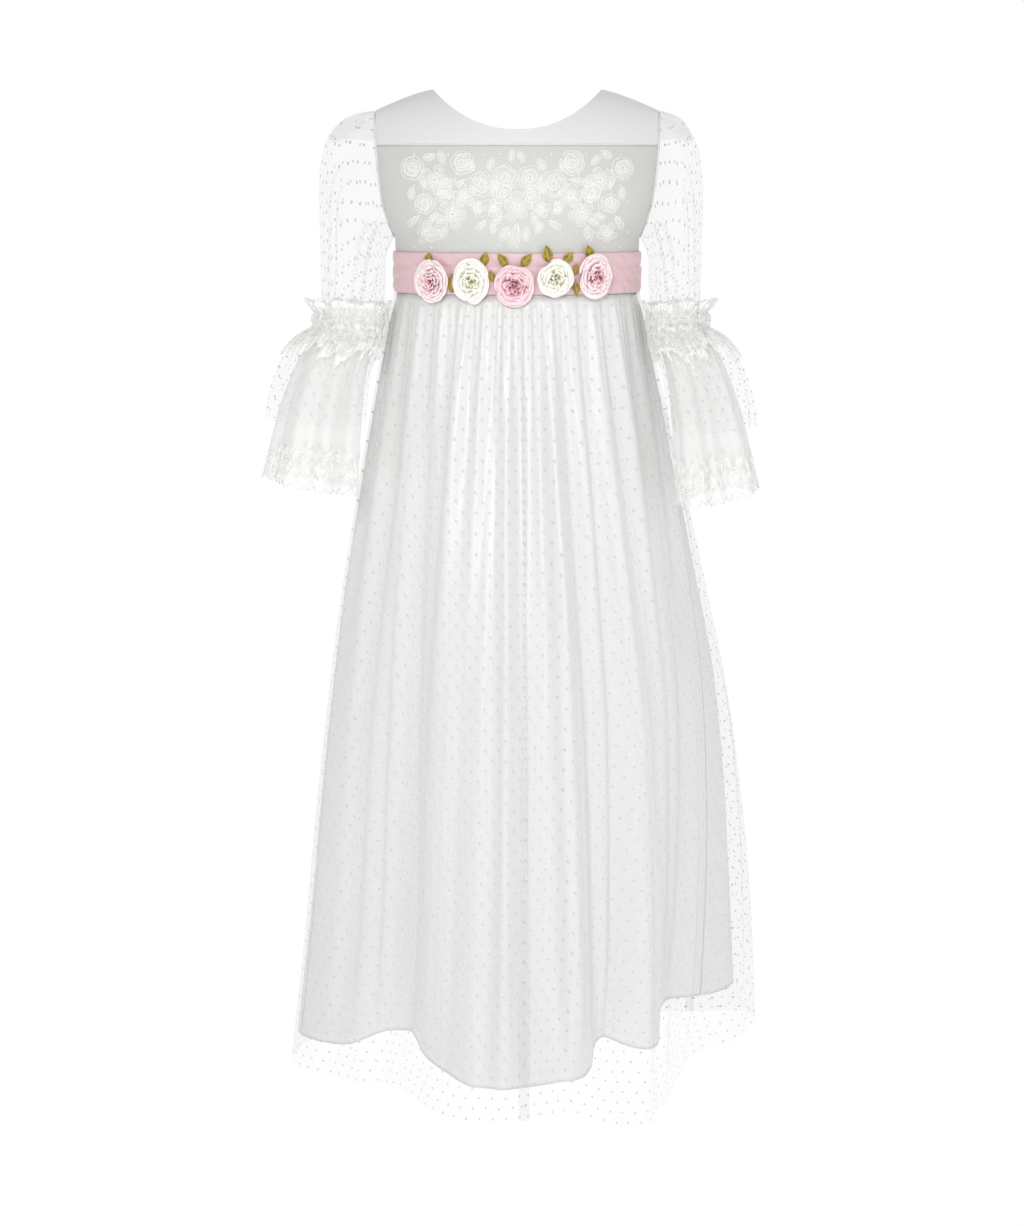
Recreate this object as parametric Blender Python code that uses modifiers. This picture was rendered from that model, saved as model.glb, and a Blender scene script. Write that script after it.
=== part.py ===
"""A child's long occasion dress, worn but with no wearer, so it keeps its hollow, filled-out form.

Lace bodice under a plain yoke, sheer puffed sleeves that end in a frill and two flounces, a ribbon sash
with five fabric roses, a satin underskirt and a longer net overskirt.

Metres, +Z up. The front faces -Y, so the wearer's right is at -X. The origin is midway between the
shoulder seams, at the height of the neck's corners, where the wearer's shoulders carry the dress.
"""

import math
from collections import namedtuple

import bmesh
import bpy
import numpy as np
from mathutils import Matrix, Vector

RIGHT, LEFT = -1, 1  # the wearer's sides, as the sign of X
SIDE_NAMES = {RIGHT: "right", LEFT: "left"}

# Walls and gaps
SEAM_GAP = 0.0004
BODICE_WALL = 0.0012
LACE_RELIEF = 0.0010
SATIN_WALL = 0.0012
NET_WALL = 0.0010
SASH_WALL = 0.0012

# Bodice
SHOULDER_END_DROP = 0.020
SHOULDER_END_X = 0.137
YOKE_SEAM_Z = -0.053
ARMPIT_Z = -0.141
WAIST_SEAM_Z = -0.195
WAIST_HALF_WIDTH = 0.117
FRONT_WAIST_DEPTH, BACK_WAIST_DEPTH = 0.080, 0.072
FRONT_CHEST_DEPTH, BACK_CHEST_DEPTH = 0.084, 0.076
CHEST_BELOW_RIDGE = 0.118
RIDGE_RISE_AT_NECK = 0.012
RIDGE_DROP_POWER = 1.3  # above 1, the ridge falls faster towards the shoulder's end
NECK_CORNER_SHARE = 0.5  # where the neck's corner falls, as a share of the yoke's half width
FRONT_NECK_DEPTH, BACK_NECK_DEPTH = 0.039, 0.042
NECK_CURVE = 2.3
ARMHOLE_GAP = 0.0010
TORSO_COLUMNS = 36  # across the front or the back
FRONT_ROWS, YOKE_ROWS = 14, 5
YOKE_ROW_POWER = 1.7  # above 1, the yoke's rows crowd towards its top edge, where it bends most
BACK_ROWS = (0.0, 0.0, 0.0, 0.06, 0.16, 0.31, 0.51, 0.73, 0.90, 1.0)  # shares from armpit to top
BACK_ARMPIT_ROW = 2  # the row of the backs that lies at the armpit
LACE_FULL_TO, LACE_FADES_AT = 0.6, 1.1  # shares of a flower's radius

# Sash, roses and buttons
SASH_TOP_Z, SASH_BOTTOM_Z = -0.155, -0.1945
SASH_GAP = 0.0007
SASH_PLEATS, SASH_PLEAT_HEIGHT, SASH_ROWS = 3, 0.0011, 6
ROSE_GAP, LEAF_GAP, BUTTON_GAP = 0.0004, 0.0003, 0.0004
LEAF_TILT = math.radians(1.5)
BUTTON_RADIUS, BUTTON_FLATTEN, BUTTON_COUNT = 0.0052, 0.42, 4
BUTTON_TOP_Z, BUTTON_PITCH = -0.056, 0.027

# Skirts
SKIRT_TOP_Z = WAIST_SEAM_Z - SEAM_GAP
SIDE_SEAM_GAP = 0.0008
SKIRT_COLUMNS = 40
SKIRT_ROWS = (0.0, 0.006, 0.05, 0.13, 0.25, 0.41, 0.60, 0.81, 1.0)  # shares of the length
NET_OUT_AT_WAIST = 0.0031
GATHERS_AROUND = 26
GATHER_HEIGHT, GATHER_END = 0.0032, 0.55  # they fade out at this share of the length
GATHER_PEAK_POWER, GATHER_ROUNDNESS = 0.6, 0.8  # below 1: deepest near the waist, with blunt ends

# Sleeves
SLEEVE_COLUMNS, UPPER_SLEEVE_ROWS = 22, 8
FLOUNCE_COLUMNS, FRILL_ROWS, LACE_FLOUNCE_ROWS, NET_FLOUNCE_ROWS = 24, 2, 5, 4
SLEEVE_BAND_WIDTH = 0.003
SLEEVE_GATHERS, SLEEVE_GATHER_HEIGHT, SLEEVE_GATHER_END = 9, 0.0022, 0.5
SLEEVE_TUCK_FROM = 3  # the tuck below is taken in over the first of this many parts of the length
LEFT_SLEEVE_TUCK = 0.012  # the wearer's left sleeve lies this much closer in
LEFT_SLEEVE_DROP, LEFT_SLEEVE_FORWARD = 0.010, 0.020
ELBOW_Z, FLOUNCE_LENGTH = -0.2245, 0.1540
FRILL_WAVES, FRILL_WAVE_HEIGHT = 10, 0.0030
LACE_WAVES, LACE_WAVE_HEIGHT = 7, 0.0050
NET_WAVES, NET_WAVE_HEIGHT = 7, 0.0040

# Half width of the torso, and where each front or back panel ends at the armhole
Torso = namedtuple("Torso", "z half_width panel_edge squareness")
TORSO = (
    Torso(0.012, 0.150, 0.1370, 2.4),
    Torso(-0.020, 0.150, 0.1370, 2.4),
    Torso(-0.054, 0.148, 0.1355, 2.4),
    Torso(-0.085, 0.143, 0.1325, 2.4),
    Torso(-0.110, 0.136, 0.1290, 2.3),
    Torso(-0.128, 0.127, 0.1235, 2.2),
    Torso(ARMPIT_Z, 0.1185, 0.1185, 2.0),
    Torso(-0.165, 0.1175, 0.1175, 2.0),
    Torso(WAIST_SEAM_Z - 0.02, WAIST_HALF_WIDTH, WAIST_HALF_WIDTH, 2.0),
)

# The hem of both skirts seen from above: 0 degrees is the front, and angles grow towards +X
Hem = namedtuple("Hem", "angle satin_radius satin_z net_radius net_z")
HEM = (
    Hem(-93, 0.224, -0.949, 0.232, -0.983),
    Hem(-81, 0.199, -0.948, 0.210, -0.980),
    Hem(-72, 0.176, -0.943, 0.190, -0.977),
    Hem(-63, 0.147, -0.926, 0.176, -0.976),
    Hem(-54, 0.134, -0.923, 0.167, -0.972),
    Hem(-45, 0.137, -0.927, 0.161, -0.970),
    Hem(-36, 0.146, -0.937, 0.167, -0.972),
    Hem(-27, 0.157, -0.943, 0.184, -0.977),
    Hem(-14, 0.176, -0.950, 0.197, -0.980),
    Hem(-3, 0.182, -0.949, 0.197, -0.978),
    Hem(8, 0.178, -0.948, 0.191, -0.977),
    Hem(19, 0.168, -0.946, 0.182, -0.979),
    Hem(26, 0.156, -0.945, 0.190, -0.988),
    Hem(32, 0.142, -0.938, 0.198, -0.993),
    Hem(38, 0.126, -0.926, 0.198, -0.995),
    Hem(44, 0.124, -0.925, 0.190, -0.994),
    Hem(50, 0.145, -0.934, 0.180, -0.991),
    Hem(57, 0.160, -0.937, 0.175, -0.988),
    Hem(64, 0.157, -0.932, 0.172, -0.984),
    Hem(71, 0.147, -0.914, 0.170, -0.979),
    Hem(78, 0.152, -0.905, 0.173, -0.970),
    Hem(87, 0.178, -0.907, 0.190, -0.963),
    Hem(95, 0.203, -0.911, 0.217, -0.966),
    Hem(101, 0.224, -0.912, 0.240, -0.965),
    Hem(108, 0.238, -0.916, 0.264, -0.961),
    Hem(115, 0.236, -0.922, 0.268, -0.960),
    Hem(124, 0.221, -0.929, 0.246, -0.966),
    Hem(136, 0.193, -0.934, 0.213, -0.972),
    Hem(150, 0.187, -0.940, 0.204, -0.977),
    Hem(163, 0.200, -0.944, 0.216, -0.980),
    Hem(177, 0.193, -0.945, 0.209, -0.980),
    Hem(191, 0.183, -0.944, 0.200, -0.979),
    Hem(204, 0.197, -0.945, 0.213, -0.980),
    Hem(218, 0.182, -0.943, 0.199, -0.979),
    Hem(232, 0.197, -0.945, 0.213, -0.980),
    Hem(246, 0.216, -0.947, 0.229, -0.981),
    Hem(258, 0.222, -0.948, 0.233, -0.982),
)

# How far the skirts have spread from the waist's oval to the hem's, at shares of their length
Spread = namedtuple("Spread", "length_share right left")
SPREAD = (
    Spread(0.00, 0.00, 0.00),
    Spread(0.065, 0.085, 0.100),
    Spread(0.15, 0.20, 0.245),
    Spread(0.27, 0.352, 0.435),
    Spread(0.40, 0.51, 0.62),
    Spread(0.535, 0.645, 0.80),
    Spread(0.665, 0.75, 0.90),
    Spread(0.80, 0.84, 0.965),
    Spread(1.00, 1.00, 1.00),
)

# The plain oval that each skirt would hang to with no folds: reach to each side, to the front and back
Oval = namedtuple("Oval", "right left front back")
SATIN_OVAL = Oval(0.222, 0.230, 0.158, 0.190)
NET_OVAL = Oval(0.231, 0.258, 0.182, 0.208)

# A sleeve's rings: its upper, outer point and its lower, inner point as seen from the front
Ring = namedtuple("Ring", "outer_x outer_z inner_x inner_z y half_depth")
SLEEVE = (
    Ring(0.1385, -0.018, 0.1200, -0.143, 0.000, 0.038),
    Ring(0.1520, -0.022, 0.1235, -0.147, -0.001, 0.043),
    Ring(0.1700, -0.029, 0.1260, -0.154, -0.004, 0.048),
    Ring(0.1840, -0.047, 0.1275, -0.162, -0.008, 0.051),
    Ring(0.1915, -0.078, 0.1275, -0.171, -0.014, 0.050),
    Ring(0.1925, -0.118, 0.1275, -0.181, -0.021, 0.046),
    Ring(0.1910, -0.158, 0.1275, -0.192, -0.029, 0.041),
    Ring(0.1895, -0.192, 0.1280, -0.204, -0.035, 0.036),
    Ring(0.1880, -0.218, 0.1290, -0.219, -0.039, 0.032),
)
FRILL = (
    Ring(0.1896, -0.2200, 0.1275, -0.2210, -0.039, 0.0336),
    Ring(0.1985, -0.2100, 0.1245, -0.2120, -0.038, 0.0400),
    Ring(0.2050, -0.2000, 0.1225, -0.2030, -0.038, 0.0440),
)
LACE_FLOUNCE = (
    Ring(0.1880, -0.2192, 0.1290, -0.2202, -0.039, 0.032),
    Ring(0.1885, -0.2230, 0.1295, -0.2240, -0.040, 0.033),
    Ring(0.1990, -0.2370, 0.1370, -0.2400, -0.044, 0.036),
    Ring(0.2130, -0.2650, 0.1470, -0.2710, -0.051, 0.041),
    Ring(0.2250, -0.3000, 0.1520, -0.3080, -0.059, 0.046),
    Ring(0.2340, -0.3370, 0.1550, -0.3480, -0.067, 0.050),
    Ring(0.2410, -0.3700, 0.1570, -0.3860, -0.075, 0.053),
)
NET_FLOUNCE = (
    Ring(0.1908, -0.2216, 0.1278, -0.2226, -0.0399, 0.0349),
    Ring(0.2120, -0.2370, 0.1310, -0.2420, -0.044, 0.0435),
    Ring(0.2280, -0.2600, 0.1400, -0.2670, -0.051, 0.0490),
    Ring(0.2380, -0.2880, 0.1455, -0.2950, -0.058, 0.0540),
    Ring(0.2400, -0.3140, 0.1480, -0.3180, -0.064, 0.0570),
)

# Roses along the sash: place seen from the front, reach across and upwards, turn of the petals
Rose = namedtuple("Rose", "x z half_width half_height turn finish")
ROSES = (
    Rose(-0.0785, -0.1820, 0.0194, 0.0215, 0.3, "rose_pink"),
    Rose(-0.0425, -0.1815, 0.0190, 0.0225, 1.1, "rose_ivory"),
    Rose(-0.0030, -0.1845, 0.0200, 0.0215, 2.0, "rose_pink"),
    Rose(0.0350, -0.1785, 0.0180, 0.0192, 0.7, "rose_ivory"),
    Rose(0.0715, -0.1770, 0.0192, 0.0220, 1.6, "rose_pink"),
)
ROSE_DEPTH, ROSE_RIM = 0.0160, 0.0088  # how far its heart and its rim stand off its flat back
ROSE_PETALS, PETAL_NOTCH = 5, 0.06
ROSE_BACK_SHARE, ROSE_RIM_POWER = 0.5, 1.5  # the flat back's radius, and how the rim lifts off it
COIL_RELIEF, COIL_ARMS, COIL_TWIST = 0.08, 2, 9  # the heart's coil, as a share of its depth

# Leaves: middle seen from the front, direction in degrees clockwise from straight up, and size
Leaf = namedtuple("Leaf", "x z direction length width")
LEAVES = (
    Leaf(-0.0805, -0.1595, 10, 0.010, 0.0085),
    Leaf(-0.0600, -0.1835, 3, 0.018, 0.0070),
    Leaf(-0.0295, -0.1600, 14, 0.014, 0.0080),
    Leaf(-0.0232, -0.1765, -15, 0.011, 0.0060),
    Leaf(-0.0136, -0.1610, -35, 0.015, 0.0080),
    Leaf(0.0085, -0.1610, 38, 0.015, 0.0080),
    Leaf(0.0272, -0.1550, -10, 0.016, 0.0090),
    Leaf(0.0470, -0.1590, 35, 0.013, 0.0080),
    Leaf(0.0535, -0.1705, 8, 0.011, 0.0060),
    Leaf(0.0650, -0.1535, -22, 0.013, 0.0085),
    Leaf(0.0540, -0.1890, 178, 0.013, 0.0070),
)
LEAF_WALL, LEAF_FOLD = 0.0008, 0.30
LEAF_ROOT, LEAF_TIP, LEAF_ROUNDNESS = 0.08, 0.96, 0.8  # stretch of a half wave that its sides follow

# Raised lace flowers on the bodice's front, each with its mirror image: place from the front and radius
Motif = namedtuple("Motif", "x z radius")
LACE_MOTIFS = (
    Motif(0.012, -0.084, 0.012),
    Motif(0.000, -0.112, 0.013),
    Motif(0.000, -0.138, 0.010),
    Motif(0.022, -0.113, 0.008),
    Motif(0.034, -0.090, 0.011),
    Motif(0.052, -0.070, 0.011),
    Motif(0.050, -0.101, 0.009),
    Motif(0.061, -0.118, 0.011),
    Motif(0.078, -0.086, 0.010),
    Motif(0.088, -0.108, 0.009),
    Motif(0.085, -0.136, 0.009),
    Motif(0.100, -0.075, 0.011),
)

MATERIALS = {
    # name: (colour, roughness, metallic)
    "bodice_lace": ((0.86, 0.87, 0.84), 0.75, 0.0),
    "yoke_net": ((0.90, 0.90, 0.90), 0.80, 0.0),
    "satin": ((0.85, 0.86, 0.84), 0.40, 0.0),
    "dotted_net": ((0.93, 0.93, 0.93), 0.85, 0.0),
    "ribbon_pink": ((0.85, 0.62, 0.68), 0.45, 0.0),
    "rose_pink": ((0.92, 0.66, 0.74), 0.70, 0.0),
    "rose_ivory": ((0.94, 0.93, 0.86), 0.70, 0.0),
    "leaf_green": ((0.42, 0.36, 0.08), 0.55, 0.0),
    "button_satin": ((0.88, 0.88, 0.86), 0.45, 0.0),
}


def clear_scene():
    """Remove every object of the startup scene."""
    for obj in list(bpy.data.objects):
        bpy.data.objects.remove(obj)


def make_material(name):
    """A Principled material of that name, from the table of colours."""
    colour, roughness, metallic = MATERIALS[name]
    material = bpy.data.materials.new(name)
    material.use_nodes = True
    shader = material.node_tree.nodes["Principled BSDF"]
    shader.inputs["Base Color"].default_value = (*colour, 1.0)
    shader.inputs["Roughness"].default_value = roughness
    shader.inputs["Metallic"].default_value = metallic
    return material


def column(table, name):
    """One named column of a table as an array."""
    return np.array([getattr(row, name) for row in table], float)


def smooth_through(x, xs, ys):
    """A cubic curve through the points (xs, ys), whose slope at each comes from its neighbours."""
    x = np.asarray(x, float)
    slopes = np.gradient(ys, xs)
    i = np.clip(np.searchsorted(xs, x, side="right") - 1, 0, len(xs) - 2)
    step = xs[i + 1] - xs[i]
    u = (x - xs[i]) / step
    return (
        ys[i] * (1 + 2 * u) * (1 - u) ** 2
        + slopes[i] * step * u * (1 - u) ** 2
        + ys[i + 1] * u * u * (3 - 2 * u)
        + slopes[i + 1] * step * u * u * (u - 1)
    )


def around(angle, name):
    """A column of the hem's table at any angle in degrees, going smoothly round."""
    angles, values = column(HEM, "angle"), column(HEM, name)
    start = angles[0]
    turned = (np.asarray(angle, float) - start) % 360 + start
    angles = np.concatenate([angles[-3:] - 360, angles, angles[:3] + 360])
    values = np.concatenate([values[-3:], values, values[:3]])
    return smooth_through(turned, angles, values)


def oval_radius(angle, right, left, front, back):
    """Radius of an oval of four quarter ellipses at an angle in degrees from the front."""
    sine, cosine = np.sin(np.radians(angle)), np.cos(np.radians(angle))
    across = np.where(sine < 0, right, left)
    along = np.where(cosine > 0, front, back)
    return 1 / np.sqrt((sine / across) ** 2 + (cosine / along) ** 2)


def torso_value(z, name):
    """A column of the torso's table at height z."""
    return np.interp(z, column(TORSO, "z")[::-1], column(TORSO, name)[::-1])


def ridge_height(x):
    """Height of the shoulder's ridge at x: it falls outside the neck's corner and rises inside it."""
    corner = neck_corner_x()
    beyond = np.clip((np.abs(x) - corner) / (SHOULDER_END_X - corner), 0, 1)
    inside = np.clip(1 - (x / corner) ** 2, 0, 1)
    return RIDGE_RISE_AT_NECK * inside - SHOULDER_END_DROP * beyond**RIDGE_DROP_POWER


def edge_turn(z):
    """The angle round the torso at which a panel ends, at height z."""
    share = torso_value(z, "panel_edge") / torso_value(z, "half_width")
    return np.arcsin(np.clip(share, -1, 1))


def neck_corner_x():
    """The neck corner's distance from the middle."""
    return float(torso_value(0.0, "half_width") * np.sin(NECK_CORNER_SHARE * edge_turn(0.0)))


def torso_point(share, z, front):
    """A point of the torso's inner surface.

    share runs from -1 at the panel's edge on the wearer's right to 1 on the left. The depth follows a
    quarter ellipse down from the shoulder's ridge, times a superellipse across.
    """
    turn = share * edge_turn(z)
    x = torso_value(z, "half_width") * np.sin(turn)
    chest, waist = (
        (FRONT_CHEST_DEPTH, FRONT_WAIST_DEPTH) if front else (BACK_CHEST_DEPTH, BACK_WAIST_DEPTH)
    )
    below = np.clip((ridge_height(x) - z) / CHEST_BELOW_RIDGE, 0, 1)
    to_waist = np.clip((ARMPIT_Z - z) / (ARMPIT_Z - WAIST_SEAM_Z), 0, 1)
    depth = chest * np.sqrt(1 - (1 - below) ** 2) + (waist - chest) * to_waist
    across = np.clip(1 - np.abs(np.sin(turn)) ** torso_value(z, "squareness"), 0, 1) ** 0.5
    y = depth * across + SEAM_GAP / 2
    return x, (-y if front else y), z


def neckline_height(x, depth):
    """Height of a neckline at x: a round scoop that meets the shoulder's ridge at the neck's corner."""
    corner = neck_corner_x()
    return -depth * (1 - np.clip(np.abs(x) / corner, 0, 1) ** NECK_CURVE)


def panel_top(share, depth):
    """Height of a panel's top edge: the neckline inside the neck's corner, the shoulder seam outside."""
    x = torso_value(0.0, "half_width") * np.sin(share * edge_turn(0.0))
    outside = np.abs(share) >= NECK_CORNER_SHARE - 1e-9
    return np.where(outside, ridge_height(x), neckline_height(x, depth))


def lace_weight(x, z):
    """How much lace is raised at a point of the bodice's front: 1 on a flower, 0 off them all."""
    weight = 0.0
    for motif in LACE_MOTIFS:
        for side in (-1, 1):
            far = math.hypot(x - side * motif.x, z - motif.z) / motif.radius
            fade = (LACE_FADES_AT - far) / (LACE_FADES_AT - LACE_FULL_TO)
            weight = max(weight, min(1.0, max(0.0, fade)))
    return weight


def cloth_wall(name, across, along, surface, wall, material, closed=False):
    """A named wall of cloth: a grid bent onto surface(u, v), then thickened along its own normals.

    u and v run from 0 to 1, and the wall grows towards the side from which they run counterclockwise.
    A closed wall joins its last column to its first.
    """
    mesh = bmesh.new()
    bmesh.ops.create_grid(mesh, x_segments=across, y_segments=along, size=0.5)
    u = np.array([v.co.x + 0.5 for v in mesh.verts])
    v = np.array([v.co.y + 0.5 for v in mesh.verts])
    if closed:
        u = np.where(u > 1 - 1e-6, 0.0, u)
    points = np.stack(np.broadcast_arrays(*surface(u, v)), axis=-1)
    for vertex, point in zip(mesh.verts, points, strict=True):
        vertex.co = Vector(point)
    if closed:
        bmesh.ops.remove_doubles(mesh, verts=mesh.verts, dist=1e-6)
    obj = solid_from(mesh, name, material)
    solidify = obj.modifiers.new("Wall", "SOLIDIFY")
    solidify.thickness = wall
    solidify.offset = 1.0
    solidify.use_even_offset = True
    return obj


def solid_from(mesh, name, material):
    """A smooth named solid of a finished mesh."""
    data = bpy.data.meshes.new(name)
    mesh.to_mesh(data)
    mesh.free()
    data.shade_smooth()
    data.materials.append(material)
    obj = bpy.data.objects.new(name, data)
    PARTS.objects.link(obj)
    return obj


def raise_lace(obj):
    """Thicken the bodice's wall outwards under the lace flowers, over a plain inside."""
    group = obj.vertex_groups.new(name="Lace")
    for vertex in obj.data.vertices:
        group.add([vertex.index], lace_weight(vertex.co.x, vertex.co.z), "REPLACE")
    solidify = obj.modifiers["Wall"]
    solidify.thickness = BODICE_WALL + LACE_RELIEF
    solidify.vertex_group = group.name
    solidify.thickness_vertex_group = BODICE_WALL / solidify.thickness
    solidify.use_even_offset = False


def build_bodice(materials):
    """Lace front, plain front yoke and two backs that meet at the buttoned opening."""

    def front(u, v):
        z = WAIST_SEAM_Z + v * (YOKE_SEAM_Z - SEAM_GAP - WAIST_SEAM_Z)
        return torso_point(u * 2 - 1, z, front=True)

    def yoke(u, v):
        share = u * 2 - 1
        top = panel_top(share, FRONT_NECK_DEPTH)
        rise = 1 - (1 - v) ** YOKE_ROW_POWER
        return torso_point(share, YOKE_SEAM_Z + rise * (top - YOKE_SEAM_Z), front=True)

    lace, net = materials["bodice_lace"], materials["yoke_net"]
    raise_lace(cloth_wall("bodice_front", TORSO_COLUMNS, FRONT_ROWS, front, BODICE_WALL, lace))
    cloth_wall("yoke_front", TORSO_COLUMNS // 2, YOKE_ROWS, yoke, BODICE_WALL, net)

    for side in (RIGHT, LEFT):

        def back(u, v, side=side):
            share = side * (1 - u if side == LEFT else u)
            top = panel_top(share, BACK_NECK_DEPTH)
            places = np.linspace(0, 1, len(BACK_ROWS))
            z = np.interp(v, (0, places[BACK_ARMPIT_ROW]), (WAIST_SEAM_Z, ARMPIT_Z))
            z = z + np.interp(v, places, BACK_ROWS) * (top - ARMPIT_Z)
            x, y, z = torso_point(share, z, front=False)
            return x + side * SEAM_GAP / 2, y, z

        name = f"bodice_back_{SIDE_NAMES[side]}"
        columns, rows = TORSO_COLUMNS // 4, len(BACK_ROWS) - 1
        cloth_wall(name, columns, rows, back, BODICE_WALL, net)


def waist_radius(angle, out=0.0):
    """Radius of the waist's oval at an angle, moved out."""
    return out + oval_radius(
        angle, WAIST_HALF_WIDTH, WAIST_HALF_WIDTH, FRONT_WAIST_DEPTH, BACK_WAIST_DEPTH
    )


def sash_point(share, z, front):
    """A point of the sash's inner face, just clear of the bodice: three soft pleats run along it."""
    x, y, _ = torso_point(share, z, front)
    height_share = (z - SASH_BOTTOM_Z) / (SASH_TOP_Z - SASH_BOTTOM_Z)
    pleat = SASH_PLEAT_HEIGHT * np.sin(np.pi * SASH_PLEATS * height_share) ** 2
    out = BODICE_WALL + SASH_GAP + pleat
    depth = out * np.cos(share * np.pi / 2)
    return x + out * np.sin(share * np.pi / 2), y + (-depth if front else depth), z


def build_sash(materials):
    """Pleated ribbon round the waist, front and back, parted at the side seams."""
    for half, front in (("front", True), ("back", False)):

        def sash(u, v, front=front):
            z = SASH_BOTTOM_Z + v * (SASH_TOP_Z - SASH_BOTTOM_Z)
            share = (u * 2 - 1) * (1 if front else -1)
            return sash_point(share, z, front)

        ribbon = materials["ribbon_pink"]
        cloth_wall(f"sash_{half}", TORSO_COLUMNS, SASH_ROWS, sash, SASH_WALL, ribbon)


def polar(angle, radius, z):
    """Cartesian point of a cylindrical one: angle in degrees from the front, growing towards +X."""
    return radius * np.sin(np.radians(angle)), -radius * np.cos(np.radians(angle)), z


def skirt_point(angle, length_share, oval, layer, out):
    """A point of a skirt's inner surface, at a share of its length below the waist.

    Below a straight band the waist's oval spreads to the hanging oval by the table of spread, the hem
    table's folds deepen with the share, and gathers fade out below the waist.
    """
    waist = waist_radius(angle, out)
    hang = oval_radius(angle, *oval)
    sine = np.sin(np.radians(angle))
    t = np.clip((length_share - SKIRT_ROWS[1]) / (1 - SKIRT_ROWS[1]), 0, 1)
    shares = column(SPREAD, "length_share")
    on_right = smooth_through(t, shares, column(SPREAD, "right"))
    on_left = smooth_through(t, shares, column(SPREAD, "left"))
    spread = on_right + (on_left - on_right) * np.clip(sine, 0, 1)
    fold = around(angle, f"{layer}_radius") - hang
    peak = np.clip(t / GATHER_END, 0, 1) ** GATHER_PEAK_POWER
    deep = np.sin(np.pi * peak) ** GATHER_ROUNDNESS
    gather = -np.cos(np.radians(angle) * GATHERS_AROUND) * deep  # a crest at each side seam
    radius = waist + (hang - waist) * spread + fold * t + GATHER_HEIGHT * gather
    return polar(angle, radius, SKIRT_TOP_Z + length_share * (around(angle, f"{layer}_z") - SKIRT_TOP_Z))


def build_skirts(materials):
    """Satin underskirt and the longer net overskirt, each a front and a back with side seams."""
    layers = (
        ("underskirt", "satin", SATIN_OVAL, 0.0, SATIN_WALL, "satin"),
        ("overskirt", "net", NET_OVAL, NET_OUT_AT_WAIST, NET_WALL, "dotted_net"),
    )
    for name, layer, oval, out, wall, finish in layers:
        for half, start, side_y in (("front", -90, -1), ("back", 90, 1)):

            def skirt(u, v, start=start, side_y=side_y, layer=layer, oval=oval, out=out):
                share = np.interp(1 - v, np.linspace(0, 1, len(SKIRT_ROWS)), SKIRT_ROWS)
                x, y, z = skirt_point(start + u * 180, share, oval, layer, out)
                return x, y + side_y * SIDE_SEAM_GAP / 2, z

            rows = len(SKIRT_ROWS) - 1
            cloth_wall(f"{name}_{half}", SKIRT_COLUMNS, rows, skirt, wall, materials[finish])


def ring_value(table, v, name):
    """A column of a table of rings, v running from 0 at the first ring to 1 at the last."""
    return smooth_through(v, np.linspace(0, 1, len(table)), column(table, name))


def ring_point(table, u, v, side, waves=0, height=0.0, phase=0.0):
    """A point on a sleeve's piece: u goes round from its outer point, v from its first ring to its last."""
    turn = 2 * np.pi * u
    in_left = LEFT_SLEEVE_TUCK if side == LEFT else 0.0
    settle = np.clip(v * SLEEVE_TUCK_FROM, 0, 1) if table is SLEEVE else 1.0
    outer = ring_value(table, v, "outer_x") - in_left * settle
    inner = ring_value(table, v, "inner_x")
    top, bottom = ring_value(table, v, "outer_z"), ring_value(table, v, "inner_z")
    middle_z = (top + bottom) / 2
    hanging = np.clip((ELBOW_Z - middle_z) / FLOUNCE_LENGTH, 0, 1) * (side == LEFT)
    wave = height * np.cos(waves * turn + phase)
    half_x, half_z = (outer - inner) / 2, (top - bottom) / 2
    half = np.sqrt(half_x**2 + half_z**2)
    swell = 1 + wave / half
    x = (outer + inner) / 2 + half_x * np.cos(turn) * swell
    z = middle_z + half_z * np.cos(turn) * swell - LEFT_SLEEVE_DROP * hanging
    y = ring_value(table, v, "y") - ring_value(table, v, "half_depth") * np.sin(turn) * swell
    y = y - LEFT_SLEEVE_FORWARD * hanging
    return side * x, y, z


def armhole_point(u, side):
    """A point of the armhole's edge: u goes round from the shoulder, down the front, up the back."""
    turn = 2 * np.pi * u
    shoulder = ridge_height(SHOULDER_END_X)
    z = (shoulder + ARMPIT_Z) / 2 + (shoulder - ARMPIT_Z) / 2 * np.cos(turn)
    x_front, y_front, _ = torso_point(1.0, z, front=True)
    _, y_back, _ = torso_point(1.0, z, front=False)
    y = np.where(np.sin(turn) >= 0, y_front, y_back)
    return side * (x_front + BODICE_WALL + ARMHOLE_GAP), y, z


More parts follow.
